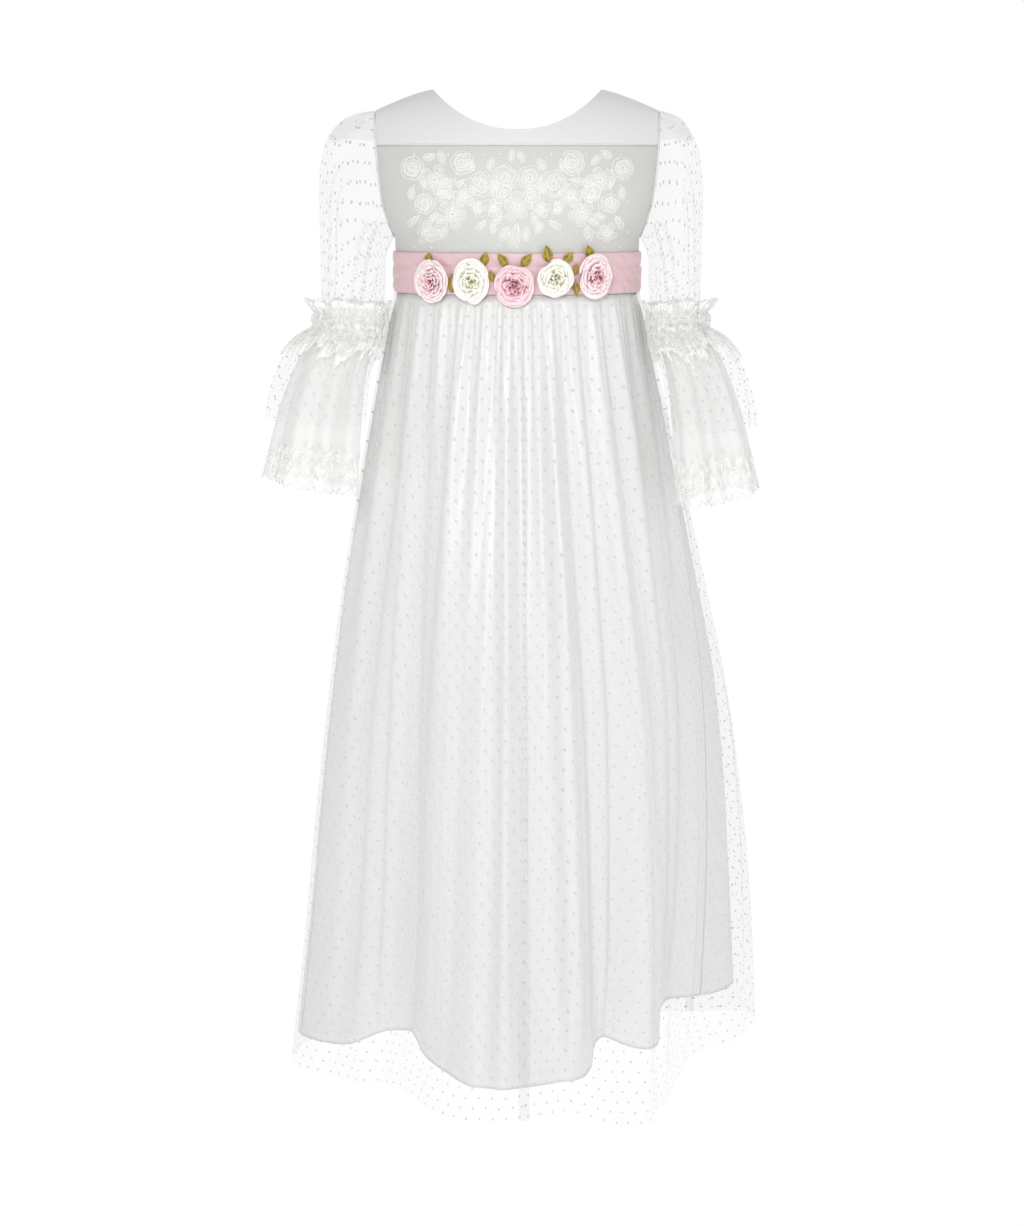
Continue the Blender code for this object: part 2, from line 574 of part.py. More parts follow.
def build_sleeves(materials):
    """Puffed net sleeves to the elbow, each with a standing frill, a lace flounce and a net one."""
    net, lace = materials["dotted_net"], materials["bodice_lace"]
    for side in (RIGHT, LEFT):
        word = SIDE_NAMES[side]

        def upper(u, v, side=side):
            past = (v - 1 / UPPER_SLEEVE_ROWS) / (1 - 1 / UPPER_SLEEVE_ROWS)
            free_share = np.clip(past, 0, 1)
            fading = np.clip(free_share / SLEEVE_GATHER_END, 0, 1)
            fullness = SLEEVE_GATHER_HEIGHT * np.sin(np.pi * fading)
            free = ring_point(SLEEVE, u, free_share, side, SLEEVE_GATHERS, fullness)
            x, y, z = armhole_point(u, side)
            sewn = (x + side * SLEEVE_BAND_WIDTH * (past > -1e-6), y, z)
            join = np.clip(1 - free_share * (len(SLEEVE) - 1), 0, 1)
            return tuple(f + (s - f) * join for f, s in zip(free, sewn, strict=True))

        def flounce(u, v, table, waves, height, side=side):
            return ring_point(table, u, v, side, waves, height * v, phase=side)

        def frill(u, v, side=side):
            return ring_point(FRILL, u, v, side, FRILL_WAVES, FRILL_WAVE_HEIGHT * v)

        def lace_flounce(u, v, flounce=flounce):
            return flounce(u, v, LACE_FLOUNCE, LACE_WAVES, LACE_WAVE_HEIGHT)

        def net_flounce(u, v, flounce=flounce):
            return flounce(u, v, NET_FLOUNCE, NET_WAVES, NET_WAVE_HEIGHT)

        # Each tube's wall lies inside its rings. The frill stands upwards, so it turns the other way.
        for name, across, along, surface, finish in (
            (f"sleeve_{word}", SLEEVE_COLUMNS, UPPER_SLEEVE_ROWS, upper, net),
            (f"sleeve_frill_{word}", FLOUNCE_COLUMNS, FRILL_ROWS, frill, net),
            (f"lace_flounce_{word}", FLOUNCE_COLUMNS, LACE_FLOUNCE_ROWS, lace_flounce, lace),
            (f"net_flounce_{word}", FLOUNCE_COLUMNS, NET_FLOUNCE_ROWS, net_flounce, net),
        ):
            upward = name.startswith("sleeve_frill")
            mirrored = (side == LEFT) != upward
            turned = (lambda u, v, s=surface: s(1 - u, v)) if mirrored else surface
            cloth_wall(name, across, along, turned, NET_WALL, finish, closed=True)


def sash_front_frame(x, z, gap):
    """A frame on the sash's front at (x, z): Z points away from it, Y up it, and it clears the pleats."""
    share = math.asin(x / WAIST_HALF_WIDTH) / (math.pi / 2)
    bottom = Vector(sash_point(share, SASH_BOTTOM_Z, front=True))
    top = Vector(sash_point(share, SASH_TOP_Z, front=True))
    up = (top - bottom).normalized()
    outward = Vector((bottom.x / WAIST_HALF_WIDTH**2, bottom.y / FRONT_WAIST_DEPTH**2, 0))
    across = up.cross(outward).normalized()
    normal = across.cross(up)
    frame = Matrix((across, up, normal)).transposed().to_4x4()
    face = bottom.lerp(top, (z - SASH_BOTTOM_Z) / (SASH_TOP_Z - SASH_BOTTOM_Z))
    frame.translation = face + normal * (SASH_PLEAT_HEIGHT + SASH_WALL + gap)
    return frame


def rose_point(turn, latitude, rose):
    """A point of a rose's skin; latitude is -90 degrees at its back's middle and 90 at its heart."""
    share = math.cos(latitude)
    reach = share * (1 - PETAL_NOTCH + PETAL_NOTCH * math.cos(ROSE_PETALS * turn + rose.turn))
    if latitude < 0:
        lifted = max(0.0, (share - ROSE_BACK_SHARE) / (1 - ROSE_BACK_SHARE))
        height = ROSE_RIM * lifted**ROSE_RIM_POWER
    else:
        coil = math.cos(COIL_ARMS * turn + rose.turn + COIL_TWIST * share)
        heart = ROSE_DEPTH + (ROSE_RIM - ROSE_DEPTH) * share**2
        height = heart + ROSE_DEPTH * COIL_RELIEF * coil * share
    return (
        rose.half_width * reach * math.cos(turn),
        rose.half_height * reach * math.sin(turn),
        height,
    )


def build_roses(materials):
    """Five fabric roses side by side: a flat back, a cupped ring of petals and a coiled heart."""
    for number, rose in enumerate(ROSES, start=1):
        mesh = bmesh.new()
        bmesh.ops.create_uvsphere(mesh, u_segments=16, v_segments=8, radius=1.0)
        for vertex in mesh.verts:
            turn = math.atan2(vertex.co.y, vertex.co.x)
            latitude = math.asin(max(-1.0, min(1.0, vertex.co.z)))
            vertex.co = rose_point(turn, latitude, rose)
        obj = solid_from(mesh, f"rose_{number}", materials[rose.finish])
        obj.matrix_world = sash_front_frame(rose.x, rose.z, ROSE_GAP)


def build_leaves(materials):
    """Pointed leaves, folded along the midrib, whose roots slip in under the roses' rims."""
    for number, leaf in enumerate(LEAVES, start=1):

        def blade(u, v, leaf=leaf):
            stretch = LEAF_ROOT + (LEAF_TIP - LEAF_ROOT) * v
            half = leaf.width / 2 * np.sin(np.pi * stretch) ** LEAF_ROUNDNESS
            across = (u * 2 - 1) * half
            return across, leaf.length * v, np.abs(across) * LEAF_FOLD

        obj = cloth_wall(f"leaf_{number}", 2, 3, blade, LEAF_WALL, materials["leaf_green"])
        turn = math.radians(leaf.direction)
        root_x = leaf.x - leaf.length / 2 * math.sin(turn)
        root_z = leaf.z - leaf.length / 2 * math.cos(turn)
        lay = Matrix.Rotation(-turn, 4, "Z") @ Matrix.Rotation(LEAF_TILT, 4, "X")
        obj.matrix_world = sash_front_frame(root_x, root_z, LEAF_GAP) @ lay


def build_buttons(materials):
    """Covered buttons down the back opening, each a flattened ball just clear of the cloth."""
    for number in range(1, BUTTON_COUNT + 1):
        z = BUTTON_TOP_Z - (number - 1) * BUTTON_PITCH
        _, y, _ = torso_point(0.0, z, front=False)
        _, y_above, _ = torso_point(0.0, z + BUTTON_RADIUS, front=False)
        lean = math.atan2(float(y - y_above), BUTTON_RADIUS)
        mesh = bmesh.new()
        bmesh.ops.create_uvsphere(mesh, u_segments=8, v_segments=5, radius=BUTTON_RADIUS)
        bmesh.ops.scale(mesh, vec=(1, 1, BUTTON_FLATTEN), verts=mesh.verts)
        face_back = Matrix.Rotation(math.radians(-90) + lean, 3, "X")
        bmesh.ops.rotate(mesh, matrix=face_back, verts=mesh.verts)
        obj = solid_from(mesh, f"button_{number}", materials["button_satin"])
        clear = BODICE_WALL + BUTTON_GAP + BUTTON_RADIUS * BUTTON_FLATTEN
        obj.location = (0, float(y) + clear * math.cos(lean), z + clear * math.sin(lean))


clear_scene()
PARTS = bpy.data.collections.new("Occasion dress")
bpy.context.scene.collection.children.link(PARTS)
FINISHES = {name: make_material(name) for name in MATERIALS}
build_bodice(FINISHES)
build_sash(FINISHES)
build_skirts(FINISHES)
build_sleeves(FINISHES)
build_roses(FINISHES)
build_leaves(FINISHES)
build_buttons(FINISHES)
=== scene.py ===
"""Looks of a child's long occasion dress, filled out with no wearer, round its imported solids.

Metres, +Z up. The front faces -Y, so the wearer's right is at -X. The origin is midway between the
shoulder seams, at the height of the neck's corners.
"""

import logging
import math
from collections.abc import Callable, Mapping, Sequence
from dataclasses import dataclass, field, replace
from enum import Enum
from typing import NamedTuple

import bmesh
import bpy
import numpy as np
from bpy.types import Material, Node, NodeSocket, NodeTree, Object
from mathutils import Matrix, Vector

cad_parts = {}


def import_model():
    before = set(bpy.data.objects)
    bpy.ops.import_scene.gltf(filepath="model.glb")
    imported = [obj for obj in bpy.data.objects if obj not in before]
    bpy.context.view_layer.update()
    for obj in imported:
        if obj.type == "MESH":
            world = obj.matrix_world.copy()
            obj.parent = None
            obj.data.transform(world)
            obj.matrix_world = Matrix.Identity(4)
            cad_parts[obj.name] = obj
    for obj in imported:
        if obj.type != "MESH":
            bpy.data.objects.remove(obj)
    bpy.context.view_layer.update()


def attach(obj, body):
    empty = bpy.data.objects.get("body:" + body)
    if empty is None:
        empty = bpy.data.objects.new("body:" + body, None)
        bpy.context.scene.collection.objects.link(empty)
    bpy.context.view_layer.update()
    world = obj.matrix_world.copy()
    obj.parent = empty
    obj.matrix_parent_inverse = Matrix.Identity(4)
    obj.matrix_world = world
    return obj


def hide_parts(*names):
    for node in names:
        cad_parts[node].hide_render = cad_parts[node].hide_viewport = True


log = logging.getLogger("dress")

Array = np.ndarray
Pair = tuple[float, float]
Surface = Callable[[Array, Array], Array]  # (u, v), each from 0 to 1, to points with a last axis of 3
MM = 0.001
TAU = 2 * np.pi  # a whole turn
MERGE_DISTANCE = 1e-6  # metres; points nearer than this are one
UP = np.array([0.0, 0.0, 1.0])
LEVEL = np.array([1.0, 1.0, 0.0])  # times a place, it leaves the part away from the upright axis


class Side(Enum):
    """The wearer's sides, as the sign of X."""

    RIGHT = -1
    LEFT = 1

    @property
    def word(self) -> str:
        """Its name, as the solids' names end."""
        return self.name.lower()


# Small tools of shape


def stacked(x: Array, y: Array, z: Array) -> Array:
    """Three coordinates, of shapes that broadcast, as points with a last axis of 3."""
    return np.stack(np.broadcast_arrays(x, y, z), axis=-1).astype(float)


def smooth_through(x: Array, xs: Array, ys: Array) -> Array:
    """A cubic curve through the points (xs, ys), whose slope at each comes from its neighbours.

    Args:
        x: Where it is wanted.
        xs: The known places, growing.
        ys: The known values.

    Returns:
        y = y0 (1 + 2u)(1 - u)^2 + s0 h u (1 - u)^2 + y1 u^2 (3 - 2u) + s1 h u^2 (u - 1), where u is
        the share of the step h that is past and s0 and s1 are the slopes at its ends.
    """
    x = np.asarray(x, float)
    slopes = np.gradient(ys, xs)
    i = np.clip(np.searchsorted(xs, x, side="right") - 1, 0, len(xs) - 2)
    step = xs[i + 1] - xs[i]
    u = (x - xs[i]) / step
    return (
        ys[i] * (1 + 2 * u) * (1 - u) ** 2
        + slopes[i] * step * u * (1 - u) ** 2
        + ys[i + 1] * u * u * (3 - 2 * u)
        + slopes[i + 1] * step * u * u * (u - 1)
    )


def fade(x: Array, start: float, end: float) -> Array:
    """A smooth step: 3t^2 - 2t^3, where t goes from 0 at start to 1 at end."""
    t = np.clip((np.asarray(x, float) - start) / (end - start), 0, 1)
    return t * t * (3 - 2 * t)


def column(table: Sequence[NamedTuple], name: str) -> Array:
    """One named column of a table as an array."""
    return np.array([getattr(row, name) for row in table], float)


def grid(columns: int, rows: int) -> tuple[Array, Array]:
    """u along a grid's columns and v along its rows, each from 0 to 1, of shape (rows + 1, columns + 1)."""
    u, v = np.meshgrid(np.linspace(0, 1, columns + 1), np.linspace(0, 1, rows + 1))
    return u, v


def unit(vectors: Array) -> Array:
    """Vectors divided by their lengths."""
    return vectors / np.maximum(np.linalg.norm(vectors, axis=-1, keepdims=True), 1e-12)


def surface_normals(surface: Surface, u: Array, v: Array, step: float = 1e-3) -> Array:
    """Unit normals of a surface: the cross product of its slopes along u and v, by central differences."""
    du = surface(u + step, v) - surface(u - step, v)
    dv = surface(u, v + step) - surface(u, v - step)
    return unit(np.cross(du, dv))


def make_mesh(name: str, points: Array, faces: Array, material: Material) -> Object:
    """A smooth mesh object at the origin, of faces with a fixed number of corners each.

    Args:
        name: The object's name.
        points: (n, 3) vertices in the row frame.
        faces: (m, 3) or (m, 4) corner indices.
        material: Its finish.

    Returns:
        The new object, linked to the scene.
    """
    data = bpy.data.meshes.new(name)
    data.from_pydata(points.reshape(-1, 3).tolist(), [], faces.tolist())
    data.shade_smooth()
    data.materials.append(material)
    obj = bpy.data.objects.new(name, data)
    bpy.context.scene.collection.objects.link(obj)
    return obj


def grid_faces(rows: int, columns: int, closed: bool) -> Array:
    """The quads of a grid of rows and columns of points; closed joins its last column to its first."""
    across = columns if closed else columns - 1
    r, c = np.meshgrid(np.arange(rows - 1), np.arange(across), indexing="ij")
    low, high, after = r * columns, (r + 1) * columns, (c + 1) % columns
    return np.stack([low + c, low + after, high + after, high + c], -1).reshape(-1, 4)


def copied(faces: Array, count: int, size: int) -> Array:
    """The faces of count copies, one after another, of a mesh of size points."""
    return (faces[None] + np.arange(count)[:, None, None] * size).reshape(-1, faces.shape[-1])


def mend(obj: Object, merge: bool = True, outwards: bool = False) -> None:
    """Mend a mesh.

    Args:
        obj: Its object.
        merge: Whether to merge the points that lie together, as at poles and tapered ends.
        outwards: Whether to turn its faces outwards.
    """
    mesh = bmesh.new()
    mesh.from_mesh(obj.data)
    if merge:
        bmesh.ops.remove_doubles(mesh, verts=mesh.verts, dist=MERGE_DISTANCE)
        bmesh.ops.dissolve_degenerate(mesh, edges=mesh.edges, dist=MERGE_DISTANCE)
    if outwards:
        bmesh.ops.recalc_face_normals(mesh, faces=mesh.faces)
    mesh.to_mesh(obj.data)
    mesh.free()


def lay_flat(obj: Object, places: Array) -> None:
    """Give a mesh its UV map, Flat: each face corner's place on the flat cut, in metres."""
    obj.data.uv_layers.new(name="Flat").data.foreach_set("uv", places.ravel())


def add_wall(obj: Object, thickness: float, offset: float) -> None:
    """Thicken a mesh: inwards from its surface where the offset is -1, to both sides where it is 0."""
    solidify = obj.modifiers.new("Wall", "SOLIDIFY")
    solidify.thickness, solidify.offset = thickness, offset


@dataclass(frozen=True)
class Sheet:
    """A sheet of cloth bent onto a surface, with the size it is cut to.

    Its UV map, Flat, is in metres on the flat cut: across and down from the middle of its top edge.
    """

    name: str
    surface: Surface
    columns: int
    rows: int
    flat: Pair
    material: Material
    wall: float = 0.0  # 0 leaves one layer, as suits sheer net
    closed: bool = False
    top_width: float | None = None  # where the cut narrows towards its top, at v = 1
    filled: float = 1.0  # share of the cut's rectangle or trapezium that a curved edge leaves

    @property
    def top(self) -> float:
        """The cut's width at its top."""
        return self.flat[0] if self.top_width is None else self.top_width

    def flat_places(self, u: Array, v: Array) -> Array:
        """Places on the flat cut, in metres: its width goes evenly from the hem's to the top's."""
        down = 1 - v
        width = self.top + (self.flat[0] - self.top) * down
        return np.stack([(u - 0.5) * width, down * self.flat[1]], -1)

    def area(self) -> float | None:
        """The cut's area where it isn't a rectangle."""
        area = (self.flat[0] + self.top) / 2 * self.flat[1] * self.filled
        return area if area < self.flat[0] * self.flat[1] else None

    def build(self) -> Object:
        """Make the mesh, its UV map and its wall, which grows inwards from the surface.

        Returns:
            The sheet's object, with its faces pointing away from the middle of the body or the tube.
        """
        u, v = grid(self.columns, self.rows)
        points = self.surface(u, v)
        places = self.flat_places(u, v)
        kept = points[:, :-1] if self.closed else points
        middle = kept.mean(axis=1, keepdims=True) if self.closed else points * UP
        normal = np.cross(np.gradient(points, axis=1), np.gradient(points, axis=0))
        inside_out = ((points - middle) * normal).sum() < 0
        faces = grid_faces(*kept.shape[:2], closed=self.closed)
        corners = grid_faces(*points.shape[:2], closed=False)
        if inside_out:
            faces, corners = faces[:, ::-1], corners[:, ::-1]
        obj = make_mesh(self.name, kept, faces, self.material)
        lay_flat(obj, places.reshape(-1, 2)[corners.ravel()])
        if self.wall:
            add_wall(obj, self.wall, -1.0)
        return obj


def cords(
    name: str,
    paths: Array,
    normals: Array,
    radius: float,
    material: Material,
    closed: bool,
    sides: int = 5,
    flatten: float = 0.8,
) -> Object:
    """Many thin cords that lie on a surface, as one mesh.

    Each ring's points are the path's point plus radius times (cos a across + flatten sin a normal), and
    the cord sinks a quarter of its radius in. Open cords taper to a point at both ends.

    Args:
        name: The object's name.
        paths: (cords, points, 3) middle lines.
        normals: The surface's normals at those points.
        radius: The cord's radius.
        material: Its finish.
        closed: True where each path ends where it starts, with that point given once.
        sides: Points round the cord.
        flatten: Its height as a share of its width.

    Returns:
        The joined cords.
    """
    count, length = paths.shape[:2]
    along = np.roll(paths, -1, 1) - np.roll(paths, 1, 1) if closed else np.gradient(paths, axis=1)
    across = unit(np.cross(normals, along))
    turn = np.linspace(0, TAU, sides, endpoint=False)
    size = np.full(length, radius)
    if not closed:
        size = radius * np.clip(np.sin(np.linspace(0, np.pi, length)) * 2.5, 0, 1)
    size = size[None, :, None, None]
    rings = paths[:, :, None] + normals[:, :, None] * radius * 0.25
    rings = rings + size * np.cos(turn)[None, None, :, None] * across[:, :, None]
    rings = rings + size * flatten * np.sin(turn)[None, None, :, None] * normals[:, :, None]
    lengths = length if closed else length - 1
    i, j = np.meshgrid(np.arange(lengths), np.arange(sides), indexing="ij")
    after_i, after_j = (i + 1) % length, (j + 1) % sides
    here, next_ring = i * sides, after_i * sides
    quad = np.stack([here + j, next_ring + j, next_ring + after_j, here + after_j], -1)
    obj = make_mesh(name, rings, copied(quad.reshape(-1, 4), count, length * sides), material)
    mend(obj, outwards=True)
    return obj


def stitches(
    name: str, path: Array, normals: Array, material: Material, pitch: float = 3.0 * MM
) -> Object:
    """A row of sewing stitches along a path: each is a spindle of eight faces, half sunk in the cloth.

    Args:
        name: The object's name.
        path: (points, 3) line of the seam.
        normals: The cloth's normals there.
        material: The thread.
        pitch: From one stitch to the next.

    Returns:
        The joined stitches.
    """
    steps = np.linalg.norm(np.diff(path, axis=0), axis=1)
    far = np.concatenate([[0.0], np.cumsum(steps)])
    middles = np.arange(pitch, far[-1] - pitch / 2, pitch)

    def at(values: Array, places: Array) -> Array:
        """Values along the path, one row for each place."""
        return np.stack([np.interp(places, far, values[:, k]) for k in range(3)], -1)

    centre, normal = at(path, middles), unit(at(normals, middles))
    along = unit(at(path, middles + pitch / 4) - at(path, middles - pitch / 4))
    across = np.cross(normal, along)
    half, thin = pitch * 0.36, 0.28 * MM
    ends = [along * half, across * thin, -along * half, -across * thin, normal * thin, -normal * thin]
    points = centre[:, None] + np.stack(ends, 1)
    one = np.array([[0, 1, 4], [1, 2, 4], [2, 3, 4], [3, 0, 4], [1, 0, 5], [2, 1, 5], [3, 2, 5], [0, 3, 5]])
    return make_mesh(name, points, copied(one, len(centre), len(ends)), material)


def beads(name: str, centres: Array, radius: float, material: Material) -> Object:
    """Small round beads as one mesh, each a ball of 6 by 4 faces welded at its poles."""
    around, up = np.meshgrid(np.linspace(0, TAU, 7), np.linspace(-np.pi / 2, np.pi / 2, 5))
    ball = stacked(np.cos(up) * np.cos(around), np.cos(up) * np.sin(around), np.sin(up))[:, :-1] * radius
    faces = copied(grid_faces(*ball.shape[:2], closed=True), len(centres), ball[..., 0].size)
    obj = make_mesh(name, centres[:, None, None] + ball[None], faces, material)
    mend(obj)
    return obj


# Finishes

Inputs = Mapping[int | str, object]  # a node's inputs, by name or number: values, or sockets that feed them


def linear(hex_colour: str) -> tuple[float, float, float, float]:
    """An sRGB hex colour as linear light, with alpha 1."""
    parts = [int(hex_colour[i : i + 2], 16) / 255 for i in (1, 3, 5)]
    red, green, blue = (p / 12.92 if p <= 0.04045 else ((p + 0.055) / 1.055) ** 2.4 for p in parts)
    return red, green, blue, 1.0


def feed(tree: NodeTree, node: Node, inputs: Inputs) -> None:
    """Give a node's inputs their values, or link them to the sockets that feed them."""
    for key, value in inputs.items():
        if isinstance(value, NodeSocket):
            tree.links.new(value, node.inputs[key])
        else:
            node.inputs[key].default_value = value


def add_node(
    tree: NodeTree, kind: str, inputs: Inputs | None = None, **settings: object
) -> Node:
    """Add a shader node, with its settings, its input values and its links.

    Args:
        tree: The node tree.
        kind: The node's type, after "ShaderNode".
        inputs: For each input, by name or number, a value or the output socket that feeds it.
        settings: Properties of the node itself.

    Returns:
        The new node.
    """
    node = tree.nodes.new(f"ShaderNode{kind}")
    for key, value in settings.items():
        setattr(node, key, value)
    feed(tree, node, inputs or {})
    return node


def cut_place(tree: NodeTree) -> NodeSocket:
    """Places on the flat cut, in metres."""
    return add_node(tree, "UVMap", uv_map="Flat").outputs["UV"]


def mapped(tree: NodeTree, size: float | tuple[float, ...], flat: bool = False) -> NodeSocket:
    """Coordinates in repeats of a pattern.

    Args:
        tree: The node tree.
        size: One repeat in millimetres, the same each way or along each axis.
        flat: True for the flat cut's coordinates, False for the object's own.

    Returns:
        The socket of the coordinates.
    """
    source = cut_place(tree) if flat else add_node(tree, "TexCoord").outputs["Object"]
    sizes = size if isinstance(size, tuple) else (size,) * 3
    return add_node(tree, "Mapping", {"Vector": source, "Scale": [1000 / s for s in sizes]}).outputs["Vector"]


@dataclass(frozen=True)
class Finish:
    """A finish of the dress: a material whose shader takes what the finish works out."""

    name: str

    def shader_inputs(self, tree: NodeTree) -> Inputs:
        """The shader's inputs, with the nodes that feed them."""
        raise NotImplementedError

    def build(self) -> Material:
        """Make the material."""
        material = bpy.data.materials.new(self.name)
        material.use_nodes = True
        tree = material.node_tree
        feed(tree, tree.nodes["Principled BSDF"], self.shader_inputs(tree))
        return material


@dataclass(frozen=True)
class SatinFinish(Finish):
    """Polyester satin, woven: a soft sheen along its floats, with faint slubs down its length."""

    low: str
    high: str
    roughness: float = 0.36
    slub_across: float = 1.6  # mm; real slubs are near 0.3 mm, drawn this coarse so that they show
    slub_along: float = 70.0  # mm
    relief: float = 0.10  # mm

    def shader_inputs(self, tree: NodeTree) -> Inputs:
        """Long thin noise colours and lifts the cloth."""
        place = mapped(tree, (self.slub_across, self.slub_along, 1000.0), flat=True)
        slubs = add_node(tree, "TexNoise", {"Vector": place, "Scale": 1.0, "Detail": 3.0}).outputs["Fac"]
        tint = add_node(tree, "Mix", {0: slubs, 6: linear(self.low), 7: linear(self.high)}, data_type="RGBA")
        lift = add_node(tree, "Bump", {"Height": slubs, "Distance": self.relief * MM, "Strength": 0.5})
        return {
            "Base Color": tint.outputs[2],
            "Normal": lift.outputs["Normal"],
            "Roughness": self.roughness,
            "Specular IOR Level": 0.7,
            "Sheen Weight": 0.25,
            "Sheen Roughness": 0.4,
        }


@dataclass(frozen=True)
class NetFinish(Finish):
    """Nylon tulle: a fine even mesh, so it shows as a veil, with flocked dots where they are asked for.

    The mesh's holes are near 1 mm, drawn at twice that so that they show at all.
    """

    veil: float  # how much of the surface the threads cover
    thread: str = "#DFE1DF"
    dot: str = "#CCCDCC"
    uneven: float = 0.03
    hole: float = 2.2  # mm
    dot_pitch: tuple[float, float] = (16.0, 20.0)  # mm, with another dot in the middle of each cell
    dot_radius: float = 1.15  # mm
    dots: bool = True
    hem_veil: float | None = None  # the cover at the hem, where it differs
    thins: tuple[float, float] = (0.0, 0.1)  # metres down the cut over which it changes

    def dot_mask(self, tree: NodeTree) -> NodeSocket:
        """1 on a dot and 0 off it: the distance to the nearer of two staggered lattices of points."""
        place = mapped(tree, (*self.dot_pitch, 1000.0), flat=True)
        middle, cell = (0.5, 0.5, 0.5), (*self.dot_pitch, 0)
        far = []
        for shift in (0.0, 0.5):
            spot = place
            steps = {"ADD": (shift, shift, 0.5), "FRACTION": middle, "SUBTRACT": middle, "MULTIPLY": cell}
            for operation, by in steps.items():
                spot = add_node(tree, "VectorMath", {0: spot, 1: by}, operation=operation).outputs[0]
            far.append(add_node(tree, "VectorMath", {0: spot}, operation="LENGTH").outputs["Value"])
        near = add_node(tree, "Math", dict(enumerate(far)), operation="MINIMUM").outputs[0]
        rim, full = self.dot_radius * 1.15, self.dot_radius * 0.8
        return add_node(tree, "MapRange", {"Value": near, 1: rim, 2: full, 3: 0.0, 4: 1.0}).outputs["Result"]

    def shader_inputs(self, tree: NodeTree) -> Inputs:
        """The mesh and the dots set the alpha."""
        place = mapped(tree, self.hole, flat=True)
        holes = add_node(tree, "TexVoronoi", {"Vector": place, "Scale": 1.0}, feature="DISTANCE_TO_EDGE")
        thick, thin = self.veil + self.uneven, self.veil - self.uneven / 2
        mesh = {"Value": holes.outputs["Distance"], 1: 0.0, 2: 0.3, 3: thick, 4: thin}
        cover = add_node(tree, "MapRange", mesh).outputs["Result"]
        if self.hem_veil is not None:
            down = add_node(tree, "SeparateXYZ", {0: cut_place(tree)}).outputs["Y"]
            less = {"Value": down, 1: self.thins[0], 2: self.thins[1], 3: 0.0, 4: self.hem_veil - self.veil}
            change = add_node(tree, "MapRange", less).outputs["Result"]
            cover = add_node(tree, "Math", {0: cover, 1: change}, operation="ADD").outputs[0]
        colour: object = linear(self.thread)
        if self.dots:
            mask = self.dot_mask(tree)
            cover = add_node(tree, "Math", {0: cover, 1: mask}, operation="MAXIMUM").outputs[0]
            tint = {0: mask, 6: linear(self.thread), 7: linear(self.dot)}
            colour = add_node(tree, "Mix", tint, data_type="RGBA").outputs[2]
        return {
            "Base Color": colour,
            "Alpha": cover,
            "Roughness": 0.75,
            "Specular IOR Level": 0.2,
            "Sheen Weight": 0.3,
        }


@dataclass(frozen=True)
class FluffFinish(Finish):
    """Torn soft tulle in many fine layers: a cloud of threads, thick at its root and thin at its edge."""

    reach: float  # metres from root to edge
    colour: str = "#F0F1EE"
    cover: float = 0.90
    edge: float = 0.0
    clump: float = 6.0  # mm
    glow: float = 0.05  # painted light: a glow that stands in for light passed from thread to thread, which so few layers can't carry

    def shader_inputs(self, tree: NodeTree) -> Inputs:
        """Noise breaks the cover, which falls from root to edge."""
        place = mapped(tree, self.clump)
        clumps = {"Vector": place, "Scale": 1.0, "Detail": 5.0, "Roughness": 0.62}
        noise = add_node(tree, "TexNoise", clumps).outputs["Fac"]
        worn_thin = {"Value": noise, 1: 0.36, 2: 0.62, 3: 0.50, 4: 1.15}
        broken = add_node(tree, "MapRange", worn_thin).outputs["Result"]
        down = add_node(tree, "SeparateXYZ", {0: cut_place(tree)}).outputs["Y"]
        thin = {"Value": down, 1: 0.003, 2: self.reach, 3: self.cover, 4: self.edge}
        thinning = add_node(tree, "MapRange", thin).outputs["Result"]
        return {
            "Base Color": linear(self.colour),
            "Alpha": add_node(tree, "Math", {0: broken, 1: thinning}, operation="MULTIPLY").outputs[0],
            "Roughness": 0.9,
            "Specular IOR Level": 0.1,
            "Sheen Weight": 0.3,
            # painted light: the tulle glows a little, in its own colour
            "Emission Color": linear(self.colour),
            "Emission Strength": self.glow,
        }


@dataclass(frozen=True)
class ThreadFinish(Finish):
    """Spun cotton or viscose thread, as in corded lace: matt, with a twist that shows as fine ribs."""

    colour: str
    # the colour in the hollows of the twist: a painted shade
    shade: str
    roughness: float = 0.7
    twist: float = 0.8  # mm
    glow: float = 0.0  # painted light: a glow that stands in for light passed on from thread to thread, as in the frills

    def shader_inputs(self, tree: NodeTree) -> Inputs:
        """Fine noise over the object's place lifts the thread and colours it, darker in its hollows: a
        painted shade.
        """
        twists = {"Vector": mapped(tree, self.twist), "Scale": 1.0, "Detail": 2.0}
        ribs = add_node(tree, "TexNoise", twists).outputs["Fac"]
        tints = {0: ribs, 6: linear(self.shade), 7: linear(self.colour)}
        tint = add_node(tree, "Mix", tints, data_type="RGBA")
        lift = add_node(tree, "Bump", {"Height": ribs, "Distance": 0.15 * MM, "Strength": 0.6})
        return {
            "Base Color": tint.outputs[2],
            "Normal": lift.outputs["Normal"],
            "Roughness": self.roughness,
            "Specular IOR Level": 0.3,
            "Sheen Weight": 0.2,
            # painted light: the thread's glow, in its own colour
            "Emission Color": linear(self.colour),
            "Emission Strength": self.glow,
        }


